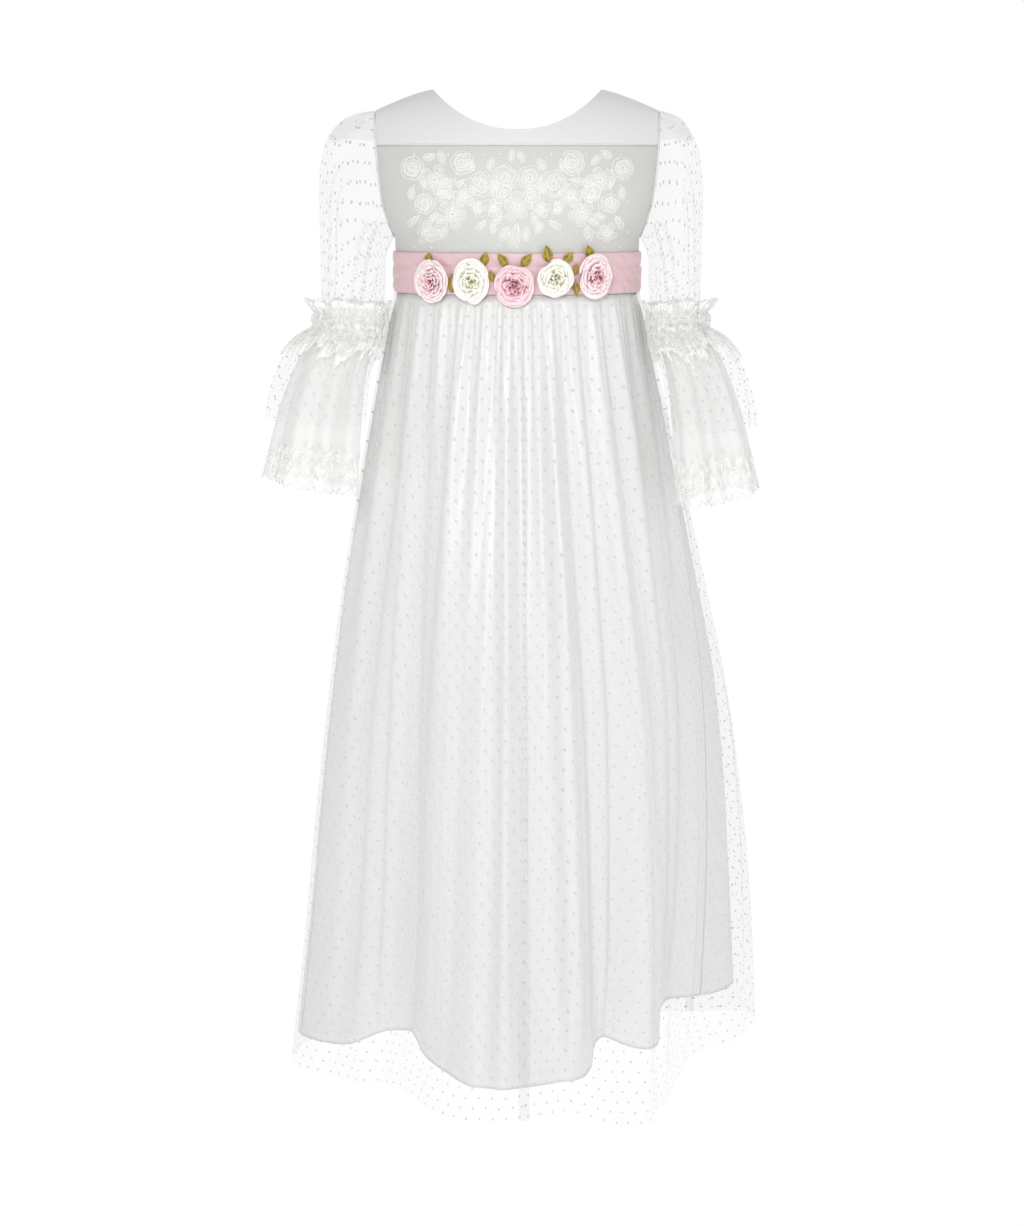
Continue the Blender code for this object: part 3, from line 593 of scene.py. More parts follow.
@dataclass(frozen=True)
class PetalFinish(Finish):
    """Thin dyed cloth, pressed and crumpled, with painted light and shade: paler at a petal's rim and on its
    crumples' crests, deeper in its cup and in the crumples' hollows.
    """

    cup: str
    rim: str
    crumple: float = 2.6  # mm

    def shader_inputs(self, tree: NodeTree) -> Inputs:
        """The colour goes from cup to rim along the petal, broken by crumples: painted light on the rim and
        the crests, painted shade in the cup and the hollows.
        """
        crumples = {"Vector": mapped(tree, self.crumple), "Scale": 1.0, "Detail": 4.0, "Distortion": 0.6}
        folds = add_node(tree, "TexNoise", crumples).outputs["Fac"]
        along = add_node(tree, "SeparateXYZ", {0: cut_place(tree)}).outputs["Y"]
        # painted light and shade: crests and rims take the pale rim colour, hollows and cups the deep cup
        # colour
        rise = add_node(tree, "Math", {0: along, 1: folds}, operation="MULTIPLY").outputs[0]
        lit = {"Value": rise, 1: 0.08, 2: 0.40, 3: 0.0, 4: 1.0}
        share = add_node(tree, "MapRange", lit).outputs["Result"]
        tint = add_node(tree, "Mix", {0: share, 6: linear(self.cup), 7: linear(self.rim)}, data_type="RGBA")
        lift = add_node(tree, "Bump", {"Height": folds, "Distance": 0.5 * MM, "Strength": 0.8})
        return {
            "Base Color": tint.outputs[2],
            "Normal": lift.outputs["Normal"],
            "Roughness": 0.75,
            "Specular IOR Level": 0.3,
            "Sheen Weight": 0.35,
        }


@dataclass(frozen=True)
class LeafFinish(Finish):
    """Printed satin leaf: olive green that turns gold at its edges, with a paler midrib and side veins."""

    name: str = "printed satin leaf"
    green: str = "#6E7A24"
    gold: str = "#B8912A"
    vein: str = "#D9BE62"
    patch: float = 1000 / 260  # mm
    vein_pitch: float = 2.4 * MM
    vein_slant: float = 1.6  # how fast the veins run up the leaf as they leave the midrib

    def shader_inputs(self, tree: NodeTree) -> Inputs:
        """Patches of gold by noise, and veins as a wave that slants off the midrib."""
        noise = add_node(tree, "TexNoise", {"Vector": mapped(tree, self.patch), "Scale": 1.0}).outputs["Fac"]
        uneven = {"Value": noise, 1: 0.38, 2: 0.62, 3: 0.0, 4: 1.0}
        patches = add_node(tree, "MapRange", uneven).outputs["Result"]
        blend = {0: patches, 6: linear(self.green), 7: linear(self.gold)}
        base = add_node(tree, "Mix", blend, data_type="RGBA").outputs[2]
        flat = add_node(tree, "SeparateXYZ", {0: cut_place(tree)}).outputs
        off = add_node(tree, "Math", {0: flat["X"]}, operation="ABSOLUTE").outputs[0]
        slant = {0: off, 1: self.vein_slant, 2: flat["Y"]}
        wave = add_node(tree, "Math", slant, operation="MULTIPLY_ADD").outputs[0]
        wave = add_node(tree, "Math", {0: wave, 1: TAU / self.vein_pitch}, operation="MULTIPLY").outputs[0]
        wave = add_node(tree, "Math", {0: wave}, operation="SINE").outputs[0]
        thin = add_node(tree, "MapRange", {"Value": wave, 1: 0.8, 2: 1.0, 3: 0.0, 4: 0.5}).outputs["Result"]
        midrib = {"Value": off, 1: 0.5 * MM, 2: 0.2 * MM, 3: 0.0, 4: 0.9}
        rib = add_node(tree, "MapRange", midrib).outputs["Result"]
        both = add_node(tree, "Math", {0: thin, 1: rib}, operation="MAXIMUM").outputs[0]
        tint = add_node(tree, "Mix", {0: both, 6: base, 7: linear(self.vein)}, data_type="RGBA")
        lift = add_node(tree, "Bump", {"Height": both, "Distance": 0.2 * MM, "Strength": 0.8})
        return {
            "Base Color": tint.outputs[2],
            "Normal": lift.outputs["Normal"],
            "Roughness": 0.5,
            "Specular IOR Level": 0.4,
        }


@dataclass(frozen=True)
class PaperFinish(Finish):
    """Opal sheet over a light table, for the floor: it glows evenly, so that nothing shades it much."""

    name: str = "opal sheet"
    colour: str = "#8A8A8A"
    light: str = "#FFFFFF"
    glow: float = 0.88
    tooth: float = 2.5  # mm

    def shader_inputs(self, tree: NodeTree) -> Inputs:
        """A faint tooth and a light of its own."""
        tooth = add_node(tree, "TexNoise", {"Vector": mapped(tree, self.tooth), "Scale": 1.0}).outputs["Fac"]
        lift = add_node(tree, "Bump", {"Height": tooth, "Distance": 0.2 * MM, "Strength": 0.2})
        return {
            "Base Color": linear(self.colour),
            "Normal": lift.outputs["Normal"],
            "Roughness": 0.9,
            "Specular IOR Level": 0.0,
            "Emission Color": linear(self.light),
            "Emission Strength": self.glow,
        }


# Forms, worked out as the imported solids' are, so that each piece sits in its solid's space


class TorsoRow(NamedTuple):
    """A level of the torso: half its width, where a panel ends there, and how square its section is."""

    z: float
    half_width: float
    panel_edge: float
    squareness: float


@dataclass(frozen=True)
class TorsoForm:
    """The dress above the waist seam: quarter ellipses down from the shoulder, times superellipses across."""

    rows: tuple[TorsoRow, ...] = (
        TorsoRow(0.012, 0.150, 0.1370, 2.4),
        TorsoRow(-0.020, 0.150, 0.1370, 2.4),
        TorsoRow(-0.054, 0.148, 0.1355, 2.4),
        TorsoRow(-0.085, 0.143, 0.1325, 2.4),
        TorsoRow(-0.110, 0.136, 0.1290, 2.3),
        TorsoRow(-0.128, 0.127, 0.1235, 2.2),
        TorsoRow(-0.141, 0.1185, 0.1185, 2.0),
        TorsoRow(-0.165, 0.1175, 0.1175, 2.0),
        TorsoRow(-0.215, 0.117, 0.117, 2.0),
    )
    armpit_z: float = -0.141
    waist_z: float = -0.195
    waist_half_width: float = 0.117
    shoulder_end_x: float = 0.137
    shoulder_end_drop: float = 0.020
    ridge_rise: float = 0.012
    chest_below_ridge: float = 0.118
    chest_depths: tuple[float, float] = (0.084, 0.076)  # front, back
    waist_depths: tuple[float, float] = (0.080, 0.072)
    neck_depths: tuple[float, float] = (0.039, 0.042)
    neck_corner_share: float = 0.5
    neck_curve: float = 2.3
    seam_gap: float = 0.4 * MM
    wall: float = 1.2 * MM

    def at(self, z: Array, name: str) -> Array:
        """A column of the table of rows at height z."""
        return np.interp(z, column(self.rows, "z")[::-1], column(self.rows, name)[::-1])

    def edge_turn(self, z: Array) -> Array:
        """The angle round the torso at which a panel ends."""
        return np.arcsin(np.clip(self.at(z, "panel_edge") / self.at(z, "half_width"), -1, 1))

    def neck_corner(self) -> float:
        """The neck corner's distance from the middle."""
        return float(self.at(0.0, "half_width") * np.sin(self.neck_corner_share * self.edge_turn(0.0)))

    def ridge(self, x: Array) -> Array:
        """Height of the shoulder's ridge: it falls outside the neck's corner and rises inside it."""
        corner = self.neck_corner()
        beyond = np.clip((np.abs(x) - corner) / (self.shoulder_end_x - corner), 0, 1)
        inside = np.clip(1 - (x / corner) ** 2, 0, 1)
        return self.ridge_rise * inside - self.shoulder_end_drop * beyond**1.3

    def depth(self, x: Array, z: Array, front: bool) -> Array:
        """How far the inner face stands from the middle plane at (x, z)."""
        side = 0 if front else 1
        chest, waist = self.chest_depths[side], self.waist_depths[side]
        below = np.clip((self.ridge(x) - z) / self.chest_below_ridge, 0, 1)
        to_waist = np.clip((self.armpit_z - z) / (self.armpit_z - self.waist_z), 0, 1)
        deep = chest * np.sqrt(1 - (1 - below) ** 2) + (waist - chest) * to_waist
        across = np.clip(np.abs(x) / self.at(z, "half_width"), 0, 1) ** self.at(z, "squareness")
        return deep * np.sqrt(np.clip(1 - across, 0, 1)) + self.seam_gap / 2

    def point(self, share: Array, z: Array, front: bool) -> Array:
        """A point of the inner face; share runs from -1 at the wearer's right edge to 1 at the left."""
        x = self.at(z, "half_width") * np.sin(share * self.edge_turn(z))
        return stacked(x, self.depth(x, z, front) * (-1 if front else 1), z)

    def front_face(self, x: Array, z: Array) -> tuple[Array, Array]:
        """Points and normals of the front's outer face at (x, z)."""

        def face(u: Array, v: Array) -> Array:
            """The inner face over the plane of the front."""
            return stacked(u, -self.depth(u, v, front=True), v)

        normal = surface_normals(face, x, z, step=0.5 * MM)
        return face(x, z) + normal * self.wall, normal

    def panel_top(self, share: Array, front: bool) -> Array:
        """Height of a panel's top edge: the round neckline inside the neck's corner, the ridge outside."""
        x = self.at(0.0, "half_width") * np.sin(share * self.edge_turn(0.0))
        scoop = 1 - np.clip(np.abs(x) / self.neck_corner(), 0, 1) ** self.neck_curve
        low = -self.neck_depths[0 if front else 1] * scoop
        return np.where(np.abs(share) >= self.neck_corner_share - 1e-9, self.ridge(x), low)

    def armhole(self, u: Array, side: Side, out: float) -> Array:
        """The armhole's edge: u goes round from the shoulder, down the front and up the back."""
        turn = TAU * u
        top = float(self.ridge(np.array(self.shoulder_end_x)))
        z = (top + self.armpit_z) / 2 + (top - self.armpit_z) / 2 * np.cos(turn)
        front, back = self.point(np.ones_like(z), z, True), self.point(np.ones_like(z), z, False)
        y = np.where(np.sin(turn) >= 0, front[..., 1], back[..., 1])
        return stacked(side.value * (front[..., 0] + self.wall + out), y, z)


def ragged(turn: Array, seed: int, low: int, high: int) -> Array:
    """Ten cosines of whole numbers of waves from low to high with random phases, within about -1 and 1."""
    rng = np.random.default_rng(seed)
    waves, phases = rng.integers(low, high, 10), rng.uniform(0, TAU, 10)
    return np.cos(turn[..., None] * waves + phases).sum(-1) / 4


def fine_gathers(count: int, drift: int, turn: Array) -> Array:
    """Uneven gathers round a seam: cos(count t + 2 sin(drift t))."""
    return np.cos(count * turn + 2 * np.sin(drift * turn))


def with_folds(length: float, laid: Sequence[tuple[Array, Array]]) -> Array:
    """The cloth in a length round, flat folds and all: each takes 8/3 of its half length."""
    return length + sum(reach for _, reach in laid) * 8 / 3


def folded(p: Array, folds: Sequence[tuple[Array, Array]], settle: float) -> tuple[Array, Array]:
    """Lay cloth round in flat folds, so that it runs back over itself.

    Over a fold of half length L, the angle reached is p less 8 L / 3 times a smooth step, so the cloth
    runs back by 0.94 L, each layer further out, and settles again past it.

    Args:
        p: How far round the cloth itself has gone.
        folds: Each fold's middle, as an angle, and its half length, in order round.
        settle: The angle over which the cloth settles again.

    Returns:
        The angle reached, and how far it is lifted, from 0 to 1.
    """
    angle, lift, used = p, np.zeros_like(p), 0.0
    for at, reach in folds:
        loss = reach * 8 / 3
        away = p - (at + used + loss / 2)
        size = np.maximum(reach, settle * 1e-4)
        angle = angle - loss * fade(away / size, -1, 1)
        risen = fade(away / size, -0.95, 0.95) * (1 - fade(away - reach, 0, settle))
        lift = lift + risen * fade(reach, 0, settle / 9)
        used = used + loss
    return angle, lift


# Lace, drawn on a plane and laid on a surface


class Motif(Enum):
    """The ordinary lace motifs of the dress."""

    ROSE = "rose"
    FLOWER = "flower"
    LEAF = "leaf"
    BUD = "bud"


def turned(points: Array, angle: float) -> Array:
    """Plane points turned counterclockwise about the origin."""
    sine, cosine = math.sin(angle), math.cos(angle)
    return points @ np.array([[cosine, sine], [-sine, cosine]])


LOOP_POINTS, STROKE_POINTS = 28, 8


def ring_loop(radius: float, lobes: int, depth: float, turn: float) -> Array:
    """A closed lobed ring: r = radius (1 - depth + depth |cos(lobes t / 2 + turn)|)."""
    t = np.linspace(0, TAU, LOOP_POINTS, endpoint=False)
    r = radius * (1 - depth + depth * np.abs(np.cos(lobes * t / 2 + turn)))
    return np.stack([r * np.cos(t), r * np.sin(t)], -1)


def petal_loop(length: float, width: float, start: float) -> Array:
    """A closed petal along +X from start: its width grows towards its tip as w sin t (0.35 + 0.65 s)."""
    t = np.linspace(0, TAU, LOOP_POINTS, endpoint=False)
    s = 0.5 - 0.5 * np.cos(t)
    return np.stack([start + (length - start) * s, width / 2 * np.sin(t) * (0.35 + 0.65 * s)], -1)


def leaf_loop(length: float, width: float) -> Array:
    """A closed pointed leaf along +X: half width = w/2 sin(pi s)^0.8 on each side."""
    t = np.linspace(0, 2, LOOP_POINTS, endpoint=False)
    s, side = np.where(t < 1, t, 2 - t), np.where(t < 1, 1.0, -1.0)
    return np.stack([length * s, side * width / 2 * np.sin(np.pi * np.clip(s, 0, 1)) ** 0.8], -1)


def stroke(ends: Sequence[Sequence[float]] | Array, bow: float = 0.0) -> Array:
    """An open line between two ends that bows sideways by a half sine."""
    s = np.linspace(0, 1, STROKE_POINTS)[:, None]
    a, b = np.array(ends)
    sideways = np.array([a[1] - b[1], b[0] - a[0]])
    return a + (b - a) * s + sideways * bow * np.sin(np.pi * s)


# A lace rose's rings of petals: reach, lobes, off the middle
ROSE_RINGS = ((0.74, 4, 0.10), (0.52, 3, -0.10), (0.32, 3, 0.06), (0.14, 3, 0.0))
LEAF_VEINS = (
    ((0.0, 0.0), (0.94, 0.0)),
    *(((s, 0.0), (s + 0.2, side * 0.17)) for s in (0.2, 0.42, 0.62) for side in (-1, 1)),
)


@dataclass
class LaceWork:
    """Corded lace: outlines and strokes of cord round raised clothwork, laid on a surface."""

    name: str
    place: Callable[[Array], tuple[Array, Array]]  # plane points to surface points and normals
    cord: Material
    cloth: Material
    cord_radius: float = 0.46 * MM
    relief: float = 0.30 * MM
    loops: list[Array] = field(default_factory=list)
    filled: list[Array] = field(default_factory=list)
    strokes: list[Array] = field(default_factory=list)

    def add(self, motif: Motif, x: float, y: float, radius: float, turn: float) -> None:
        """Draw a motif.

        Args:
            motif: Which one.
            x: Its middle, or a leaf's root, on the plane.
            y: The same, up the plane.
            radius: Its reach.
            turn: Its turn, in radians counterclockwise.
        """
        centre = np.array([x, y])

        def loop(points: Array, angle: float = 0.0, fill: bool = False) -> None:
            """Add a closed outline, turned about the motif's middle, and its clothwork if it is filled."""
            outline = turned(points, angle) + centre if angle else points + centre
            self.loops.append(outline)
            if fill:
                self.filled.append(outline)

        def line(ends: Sequence[Sequence[float]], angle: float, bow: float = 0.0) -> None:
            """Add an open cord between ends in shares of the motif's reach."""
            self.strokes.append(stroke(turned(np.array(ends) * radius, angle) + centre, bow))

        if motif is Motif.ROSE:
            loop(ring_loop(radius * 0.96, 5, 0.12, turn), fill=True)
            for share, lobes, off in ROSE_RINGS:
                away = turned(np.array([[0.0, off * radius]]), turn + 5 * share)
                loop(ring_loop(radius * share, lobes, 0.20, turn + 4 * share) + away)
            for k in range(5):
                line([[0.74, 0.0], [0.97, 0.12]], turn + TAU * k / 5 + 0.3, bow=0.3)
        elif motif is Motif.FLOWER:
            for k in range(5):
                angle = turn + TAU * k / 5
                reach = radius * (1.0 + 0.12 * math.sin(3 * k + turn))
                loop(petal_loop(reach, radius * 0.98, radius * 0.10), angle, fill=True)
                loop(petal_loop(reach * 0.50, radius * 0.30, radius * 0.18), angle)
            loop(ring_loop(radius * 0.15, 3, 0.0, 0.0))
        elif motif is Motif.LEAF:
            loop(leaf_loop(radius, radius * 0.5), turn, fill=True)
            for vein in LEAF_VEINS:
                line(vein, turn)
        else:
            loop(petal_loop(radius, radius * 0.62, 0.0), turn, fill=True)
            loop(petal_loop(radius * 0.62, radius * 0.34, 0.0), turn)

    def stem(self, start: tuple[float, float], end: tuple[float, float], bow: float) -> None:
        """Draw a bowed stem of cord."""
        self.strokes.append(stroke((start, end), bow))

    def build(self) -> list[Object]:
        """Lay it on the surface.

        Clothwork is each outline shrunk in steps s towards its middle and raised by relief (1 - s^2).

        Returns:
            The outlines, the strokes and the clothwork, a mesh each.
        """
        points, normals = self.place(np.stack(self.loops))
        outlines = cords(f"{self.name}_outlines", points, normals, self.cord_radius, self.cord, closed=True)
        points, normals = self.place(np.stack(self.strokes))
        thin = self.cord_radius * 0.7
        strokes = cords(f"{self.name}_strokes", points, normals, thin, self.cord, closed=False)
        loops = np.stack(self.filled)
        middle = loops.mean(axis=1, keepdims=True)
        shrink = np.array([1.0, 0.7, 0.4, 0.08])
        rings = middle[:, None] + (loops - middle)[:, None] * shrink[None, :, None, None]
        points, normals = self.place(rings)
        lift = self.relief * (1 - shrink**2) - 0.1 * MM
        count, length = loops.shape[:2]
        faces = copied(grid_faces(len(shrink), length, closed=True), count, len(shrink) * length)
        raised = points + normals * lift[None, :, None, None]
        cloth = make_mesh(f"{self.name}_clothwork", raised, faces, self.cloth)
        mend(cloth, merge=False, outwards=True)
        return [outlines, strokes, cloth]


# The pieces


class Wardrobe:
    """Every finish of the dress, made once."""

    def __init__(self) -> None:
        """Make each finish from what the real one is."""
        self.satin = SatinFinish("white satin", "#E3E4E3", "#EEEEED").build()
        self.bodice_satin = SatinFinish(
            "bodice satin under net", "#C5C5C2", "#CECECB", roughness=0.55, slub_across=1.3, slub_along=1.8
        ).build()
        self.yoke = SatinFinish(
            "yoke net over satin", "#D9DADA", "#E2E2E2", roughness=0.65,
            slub_across=2.2, slub_along=2.6, relief=0.05,
        ).build()
        self.skirt_net = NetFinish("dotted skirt tulle", veil=0.15).build()
        self.sleeve_net = NetFinish("dotted sleeve tulle", veil=0.10).build()
        # The frills' tulle keeps FluffFinish's glow: painted light for light passed from thread to thread.
        self.frill_net = FluffFinish("torn soft tulle, standing", reach=0.021).build()
        self.frill_core = FluffFinish("torn soft tulle, middle", edge=0.40, reach=0.030).build()
        self.frill_low = FluffFinish("torn soft tulle, hanging", reach=0.036).build()
        self.head_net = NetFinish("sleeve head stay net", veil=0.20, uneven=0.05, dots=False).build()
        self.lace_ground = NetFinish(
            "lace ground net", thread="#F1F2F0", veil=0.58, uneven=0.05, hole=1.6, dots=False,
            hem_veil=0.22, thins=(0.128, 0.150),
        ).build()
        self.lace_cord = ThreadFinish("lace cord", "#F2F3EF", "#E7E8E4").build()
        self.lace_cloth = ThreadFinish(
            "lace clothwork", "#DBDCD7", "#D2D3CE", roughness=0.85, twist=1.1
        ).build()
        # painted light: the border cord glows a little, so that it shows as bright specks
        self.border_cord = ThreadFinish("border lace cord", "#FAFBF9", "#F2F3F0", glow=0.05).build()
        self.border_cloth = ThreadFinish(
            "border clothwork", "#E8E9E5", "#DEDFDB", roughness=0.85, twist=1.1
        ).build()
        self.ribbon = SatinFinish("dusty pink ribbon satin", "#DBB5BB", "#E6C8CC", roughness=0.45).build()
        self.rose_pink = PetalFinish("pink petal cloth", "#EFADB8", "#FCEFF1").build()
        self.rose_deep = PetalFinish("deep pink petal cloth", "#E48A9E", "#FAE2E7").build()
        self.rose_ivory = PetalFinish("ivory petal cloth", "#F0ECD0", "#FEFDF8").build()
        self.leaf = LeafFinish().build()
        self.button = SatinFinish("button satin", "#E2E3E2", "#F0F0EF", roughness=0.35).build()
        self.thread = ThreadFinish("sewing thread", "#F4F5F3", "#E6E7E4").build()
        # painted light: the frayed threads glow a little, as the frills do
        self.fluff = ThreadFinish(
            "frayed tulle thread", "#F3F4F1", "#EDEEEB", roughness=0.9, glow=0.05
        ).build()


def worn(obj: Object, slot: str, *nodes: str) -> Object:
    """Let a piece ride on the dress and stand for solids.

    Args:
        obj: The piece.
        slot: The record's material slot; not used.
        nodes: The solids that it stands for.

    Returns:
        The piece.
    """
    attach(obj, "root")
    if nodes:
        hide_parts(*nodes)
    log.info("%s: %d faces", obj.name, len(obj.data.polygons))
    return obj


def sewn(sheet: Sheet, slot: str, held: str, rests_on: Sequence[str], *nodes: str) -> Object:
    obj = worn(sheet.build(), slot, *nodes)
    return obj


class Spray(NamedTuple):
    """A motif of the bodice's garland: its place from the front, reach and turn, with its mirror image."""

    kind: Motif
    x: float
    z: float
    radius: float
    turn: float  # degrees counterclockwise


GARLAND = (
    Spray(Motif.ROSE, 0.012, -0.084, 0.0100, 10),
    Spray(Motif.FLOWER, 0.000, -0.112, 0.0125, 90),
    Spray(Motif.BUD, 0.000, -0.1270, 0.0200, -90),
    Spray(Motif.FLOWER, 0.022, -0.113, 0.0078, 30),
    Spray(Motif.ROSE, 0.034, -0.090, 0.0105, 40),
    Spray(Motif.ROSE, 0.052, -0.070, 0.0100, 75),
    Spray(Motif.FLOWER, 0.050, -0.101, 0.0088, 15),
    Spray(Motif.FLOWER, 0.061, -0.118, 0.0105, 50),
    Spray(Motif.FLOWER, 0.078, -0.086, 0.0098, 35),
    Spray(Motif.ROSE, 0.088, -0.108, 0.0085, 0),
    Spray(Motif.FLOWER, 0.085, -0.136, 0.0085, 70),
    Spray(Motif.ROSE, 0.100, -0.075, 0.0100, 20),
    Spray(Motif.LEAF, 0.008, -0.129, 0.0130, -62),
    Spray(Motif.LEAF, 0.014, -0.120, 0.0120, -40),
    Spray(Motif.LEAF, 0.020, -0.098, 0.0110, 60),
    Spray(Motif.LEAF, 0.027, -0.078, 0.0110, 115),
    Spray(Motif.LEAF, 0.036, -0.105, 0.0120, -70),
    Spray(Motif.LEAF, 0.041, -0.078, 0.0110, 60),
    Spray(Motif.LEAF, 0.059, -0.086, 0.0120, -25),
    Spray(Motif.LEAF, 0.063, -0.103, 0.0110, 20),
    Spray(Motif.LEAF, 0.066, -0.128, 0.0130, -75),
    Spray(Motif.LEAF, 0.070, -0.072, 0.0110, 60),
    Spray(Motif.LEAF, 0.072, -0.118, 0.0110, -15),
    Spray(Motif.BUD, 0.030, -0.124, 0.0110, -55),
    Spray(Motif.BUD, 0.094, -0.120, 0.0100, -60),
    Spray(Motif.BUD, 0.088, -0.094, 0.0090, 80),
    Spray(Motif.ROSE, 0.014, -0.099, 0.0078, 80),
    Spray(Motif.ROSE, 0.070, -0.098, 0.0080, 120),
    Spray(Motif.LEAF, 0.006, -0.070, 0.0100, 100),
    Spray(Motif.LEAF, 0.024, -0.126, 0.0105, -110),
    Spray(Motif.LEAF, 0.044, -0.112, 0.0105, -160),
    Spray(Motif.LEAF, 0.090, -0.066, 0.0100, 150),
    Spray(Motif.LEAF, 0.100, -0.092, 0.0110, -100),
    Spray(Motif.LEAF, 0.078, -0.128, 0.0110, 150),
    Spray(Motif.BUD, 0.050, -0.086, 0.0080, -30),
)


@dataclass
class Bodice:
    """Lace front, plain yoke and two buttoned backs, with their seams, edges and beads."""

    wardrobe: Wardrobe
    form: TorsoForm = field(default_factory=TorsoForm)
    motif_scale: float = 1.2
    yoke_seam_z: float = -0.053
    relief: float = 1.0 * MM
    columns: int = 150
    button_radius: float = 5.2 * MM
    button_top_z: float = -0.056
    button_pitch: float = 0.027
    button_count: int = 4

    def raised_lace(self, x: Array, z: Array) -> Array:
        """How far the front is raised at (x, z): 1 mm on each flower, gone at 1.1 of its radius."""
        lift = np.zeros(np.broadcast(x, z).shape)
        for spray in GARLAND:
            if spray.kind in (Motif.ROSE, Motif.FLOWER):
                far = np.hypot(np.abs(x) - spray.x, z - spray.z) / (spray.radius * 1.1)
                lift = np.maximum(lift, 1 - fade(far, 0.6, 1.1))
        return lift * self.relief

    def front(self, u: Array, v: Array) -> Array:
        """The lace panel's outer face: the form at even heights, moved out by the wall and the lace."""
        low, high = self.form.waist_z, self.yoke_seam_z - self.form.seam_gap

        def inner(a: Array, b: Array) -> Array:
            """The panel's inner face."""
            share = (np.clip(a, 0.002, 0.998) * 2 - 1) * 1.002
            return self.form.point(share, low + b * (high - low), front=True)

        points = inner(u, v)
        out = self.form.wall + self.raised_lace(points[..., 0], points[..., 2])
        return points + surface_normals(inner, np.clip(u, 0.003, 0.997), v) * out[..., None]

    def yoke(self, u: Array, v: Array) -> Array:
        """The yoke's inner face, from its seam up to the neckline and the shoulders."""
        share = u * 2 - 1
        rise = 1 - (1 - np.clip(v, 0, 1)) ** 1.7
        top = self.form.panel_top(share, front=True)
        return self.form.point(share, self.yoke_seam_z + rise * (top - self.yoke_seam_z), front=True)

    def back(self, side: Side) -> Surface:
        """A back panel's inner face, from the waist seam to the neckline and the shoulder."""

        def surface(u: Array, v: Array) -> Array:
            """Heights go evenly to the armpit and then up to the panel's top."""
            share = side.value * u
            top = self.form.panel_top(share, front=False)
            low, pit = self.form.waist_z, self.form.armpit_z
            upper = 1 - (1 - np.clip((v - 0.3) / 0.7, 0, 1)) ** 1.25
            z = low + (pit - low) * np.clip(v / 0.3, 0, 1) + upper * (top - pit)
            aside = np.array([side.value * self.form.seam_gap / 2, 0, 0])
            return self.form.point(share, z, front=False) + aside

        return surface

    def outwards(self, sheet: Sheet) -> Sheet:
        """The same sheet on its outer face, so that its wall grows in to the solid's inner face."""

        def outer(u: Array, v: Array) -> Array:
            """The inner face moved out along its normals by the wall."""
            safe_u, safe_v = np.clip(u, 0.004, 0.996), np.clip(v, 0.004, 0.98)
            normal = surface_normals(sheet.surface, safe_u, safe_v)
            away = sheet.surface(safe_u, safe_v) * LEVEL
            normal = normal * np.sign((normal * away).sum(-1, keepdims=True))
            return sheet.surface(u, v) + normal * sheet.wall

        return replace(sheet, surface=outer)

    def panels(self) -> None:
        """Build the four panels."""
        kit, wall = self.wardrobe, self.form.wall
        cut = (0.33, 0.146)
        lace = Sheet("bodice_front_satin", self.front, self.columns, 70, cut, kit.bodice_satin, wall)
        sewn(lace, "bodice_lace", "stretched", ["bodice_front"], "bodice_front")
        cut = (0.30, 0.066)
        yoke = Sheet("yoke_front_cloth", self.yoke, self.columns, 26, cut, kit.yoke, wall, filled=0.76)
        sewn(self.outwards(yoke), "yoke_net", "stretched", ["yoke_front"], "yoke_front")
        for side in Side:
            node = f"bodice_back_{side.word}"
            cut = (0.170, 0.205)
            back = Sheet(f"{node}_cloth", self.back(side), 60, 70, cut, kit.yoke, wall, filled=0.85)
            sewn(self.outwards(back), "yoke_net", "stretched", [node], node)

    def lace_place(self, plane: Array) -> tuple[Array, Array]:
        """Plane points (x, z) to points and normals of the raised front."""
        x, z = plane[..., 0], np.minimum(plane[..., 1], self.yoke_seam_z - 0.8 * MM)
        points, normals = self.form.front_face(x, z)
        return points + normals * self.raised_lace(x, z)[..., None], normals

    def garland(self) -> None:
        """Build the corded lace: the table of sprays, mirrored, with stems between them, and pearls."""
        kit = self.wardrobe
        lace = LaceWork("bodice_lace", self.lace_place, kit.lace_cord, kit.lace_cloth)
        rng = np.random.default_rng(5)
        for spray in GARLAND:
            turn = math.radians(spray.turn)
            for side in Side if spray.x else (Side.LEFT,):
                mirrored = turn if side is Side.LEFT else math.pi - turn
                size, twist = rng.uniform(0.9, 1.12), rng.normal(0, 0.25)
                reach = spray.radius * size * self.motif_scale
                lace.add(spray.kind, side.value * spray.x, spray.z, reach, mirrored + twist)
        heads = [s for s in GARLAND if s.kind in (Motif.ROSE, Motif.FLOWER) and s.x]
        for a, b in zip(heads, heads[1:], strict=False):
            for side in Side:
                ends = ((side.value * a.x, a.z), (side.value * b.x, b.z))
                lace.stem(*ends, bow=0.25 * side.value)
        for piece in lace.build():
            worn(piece, "bodice_lace")
        x, z = np.meshgrid(np.linspace(-0.098, 0.098, 13), np.linspace(-0.150, -0.062, 7))
        x = x + (np.arange(7)[:, None] % 2) * 0.008
        points, normals = self.lace_place(np.stack([x, z], -1).reshape(-1, 2))
        worn(beads("bodice_pearls", points + normals * 0.2 * MM, 1.0 * MM, kit.lace_cord), "bodice_lace")

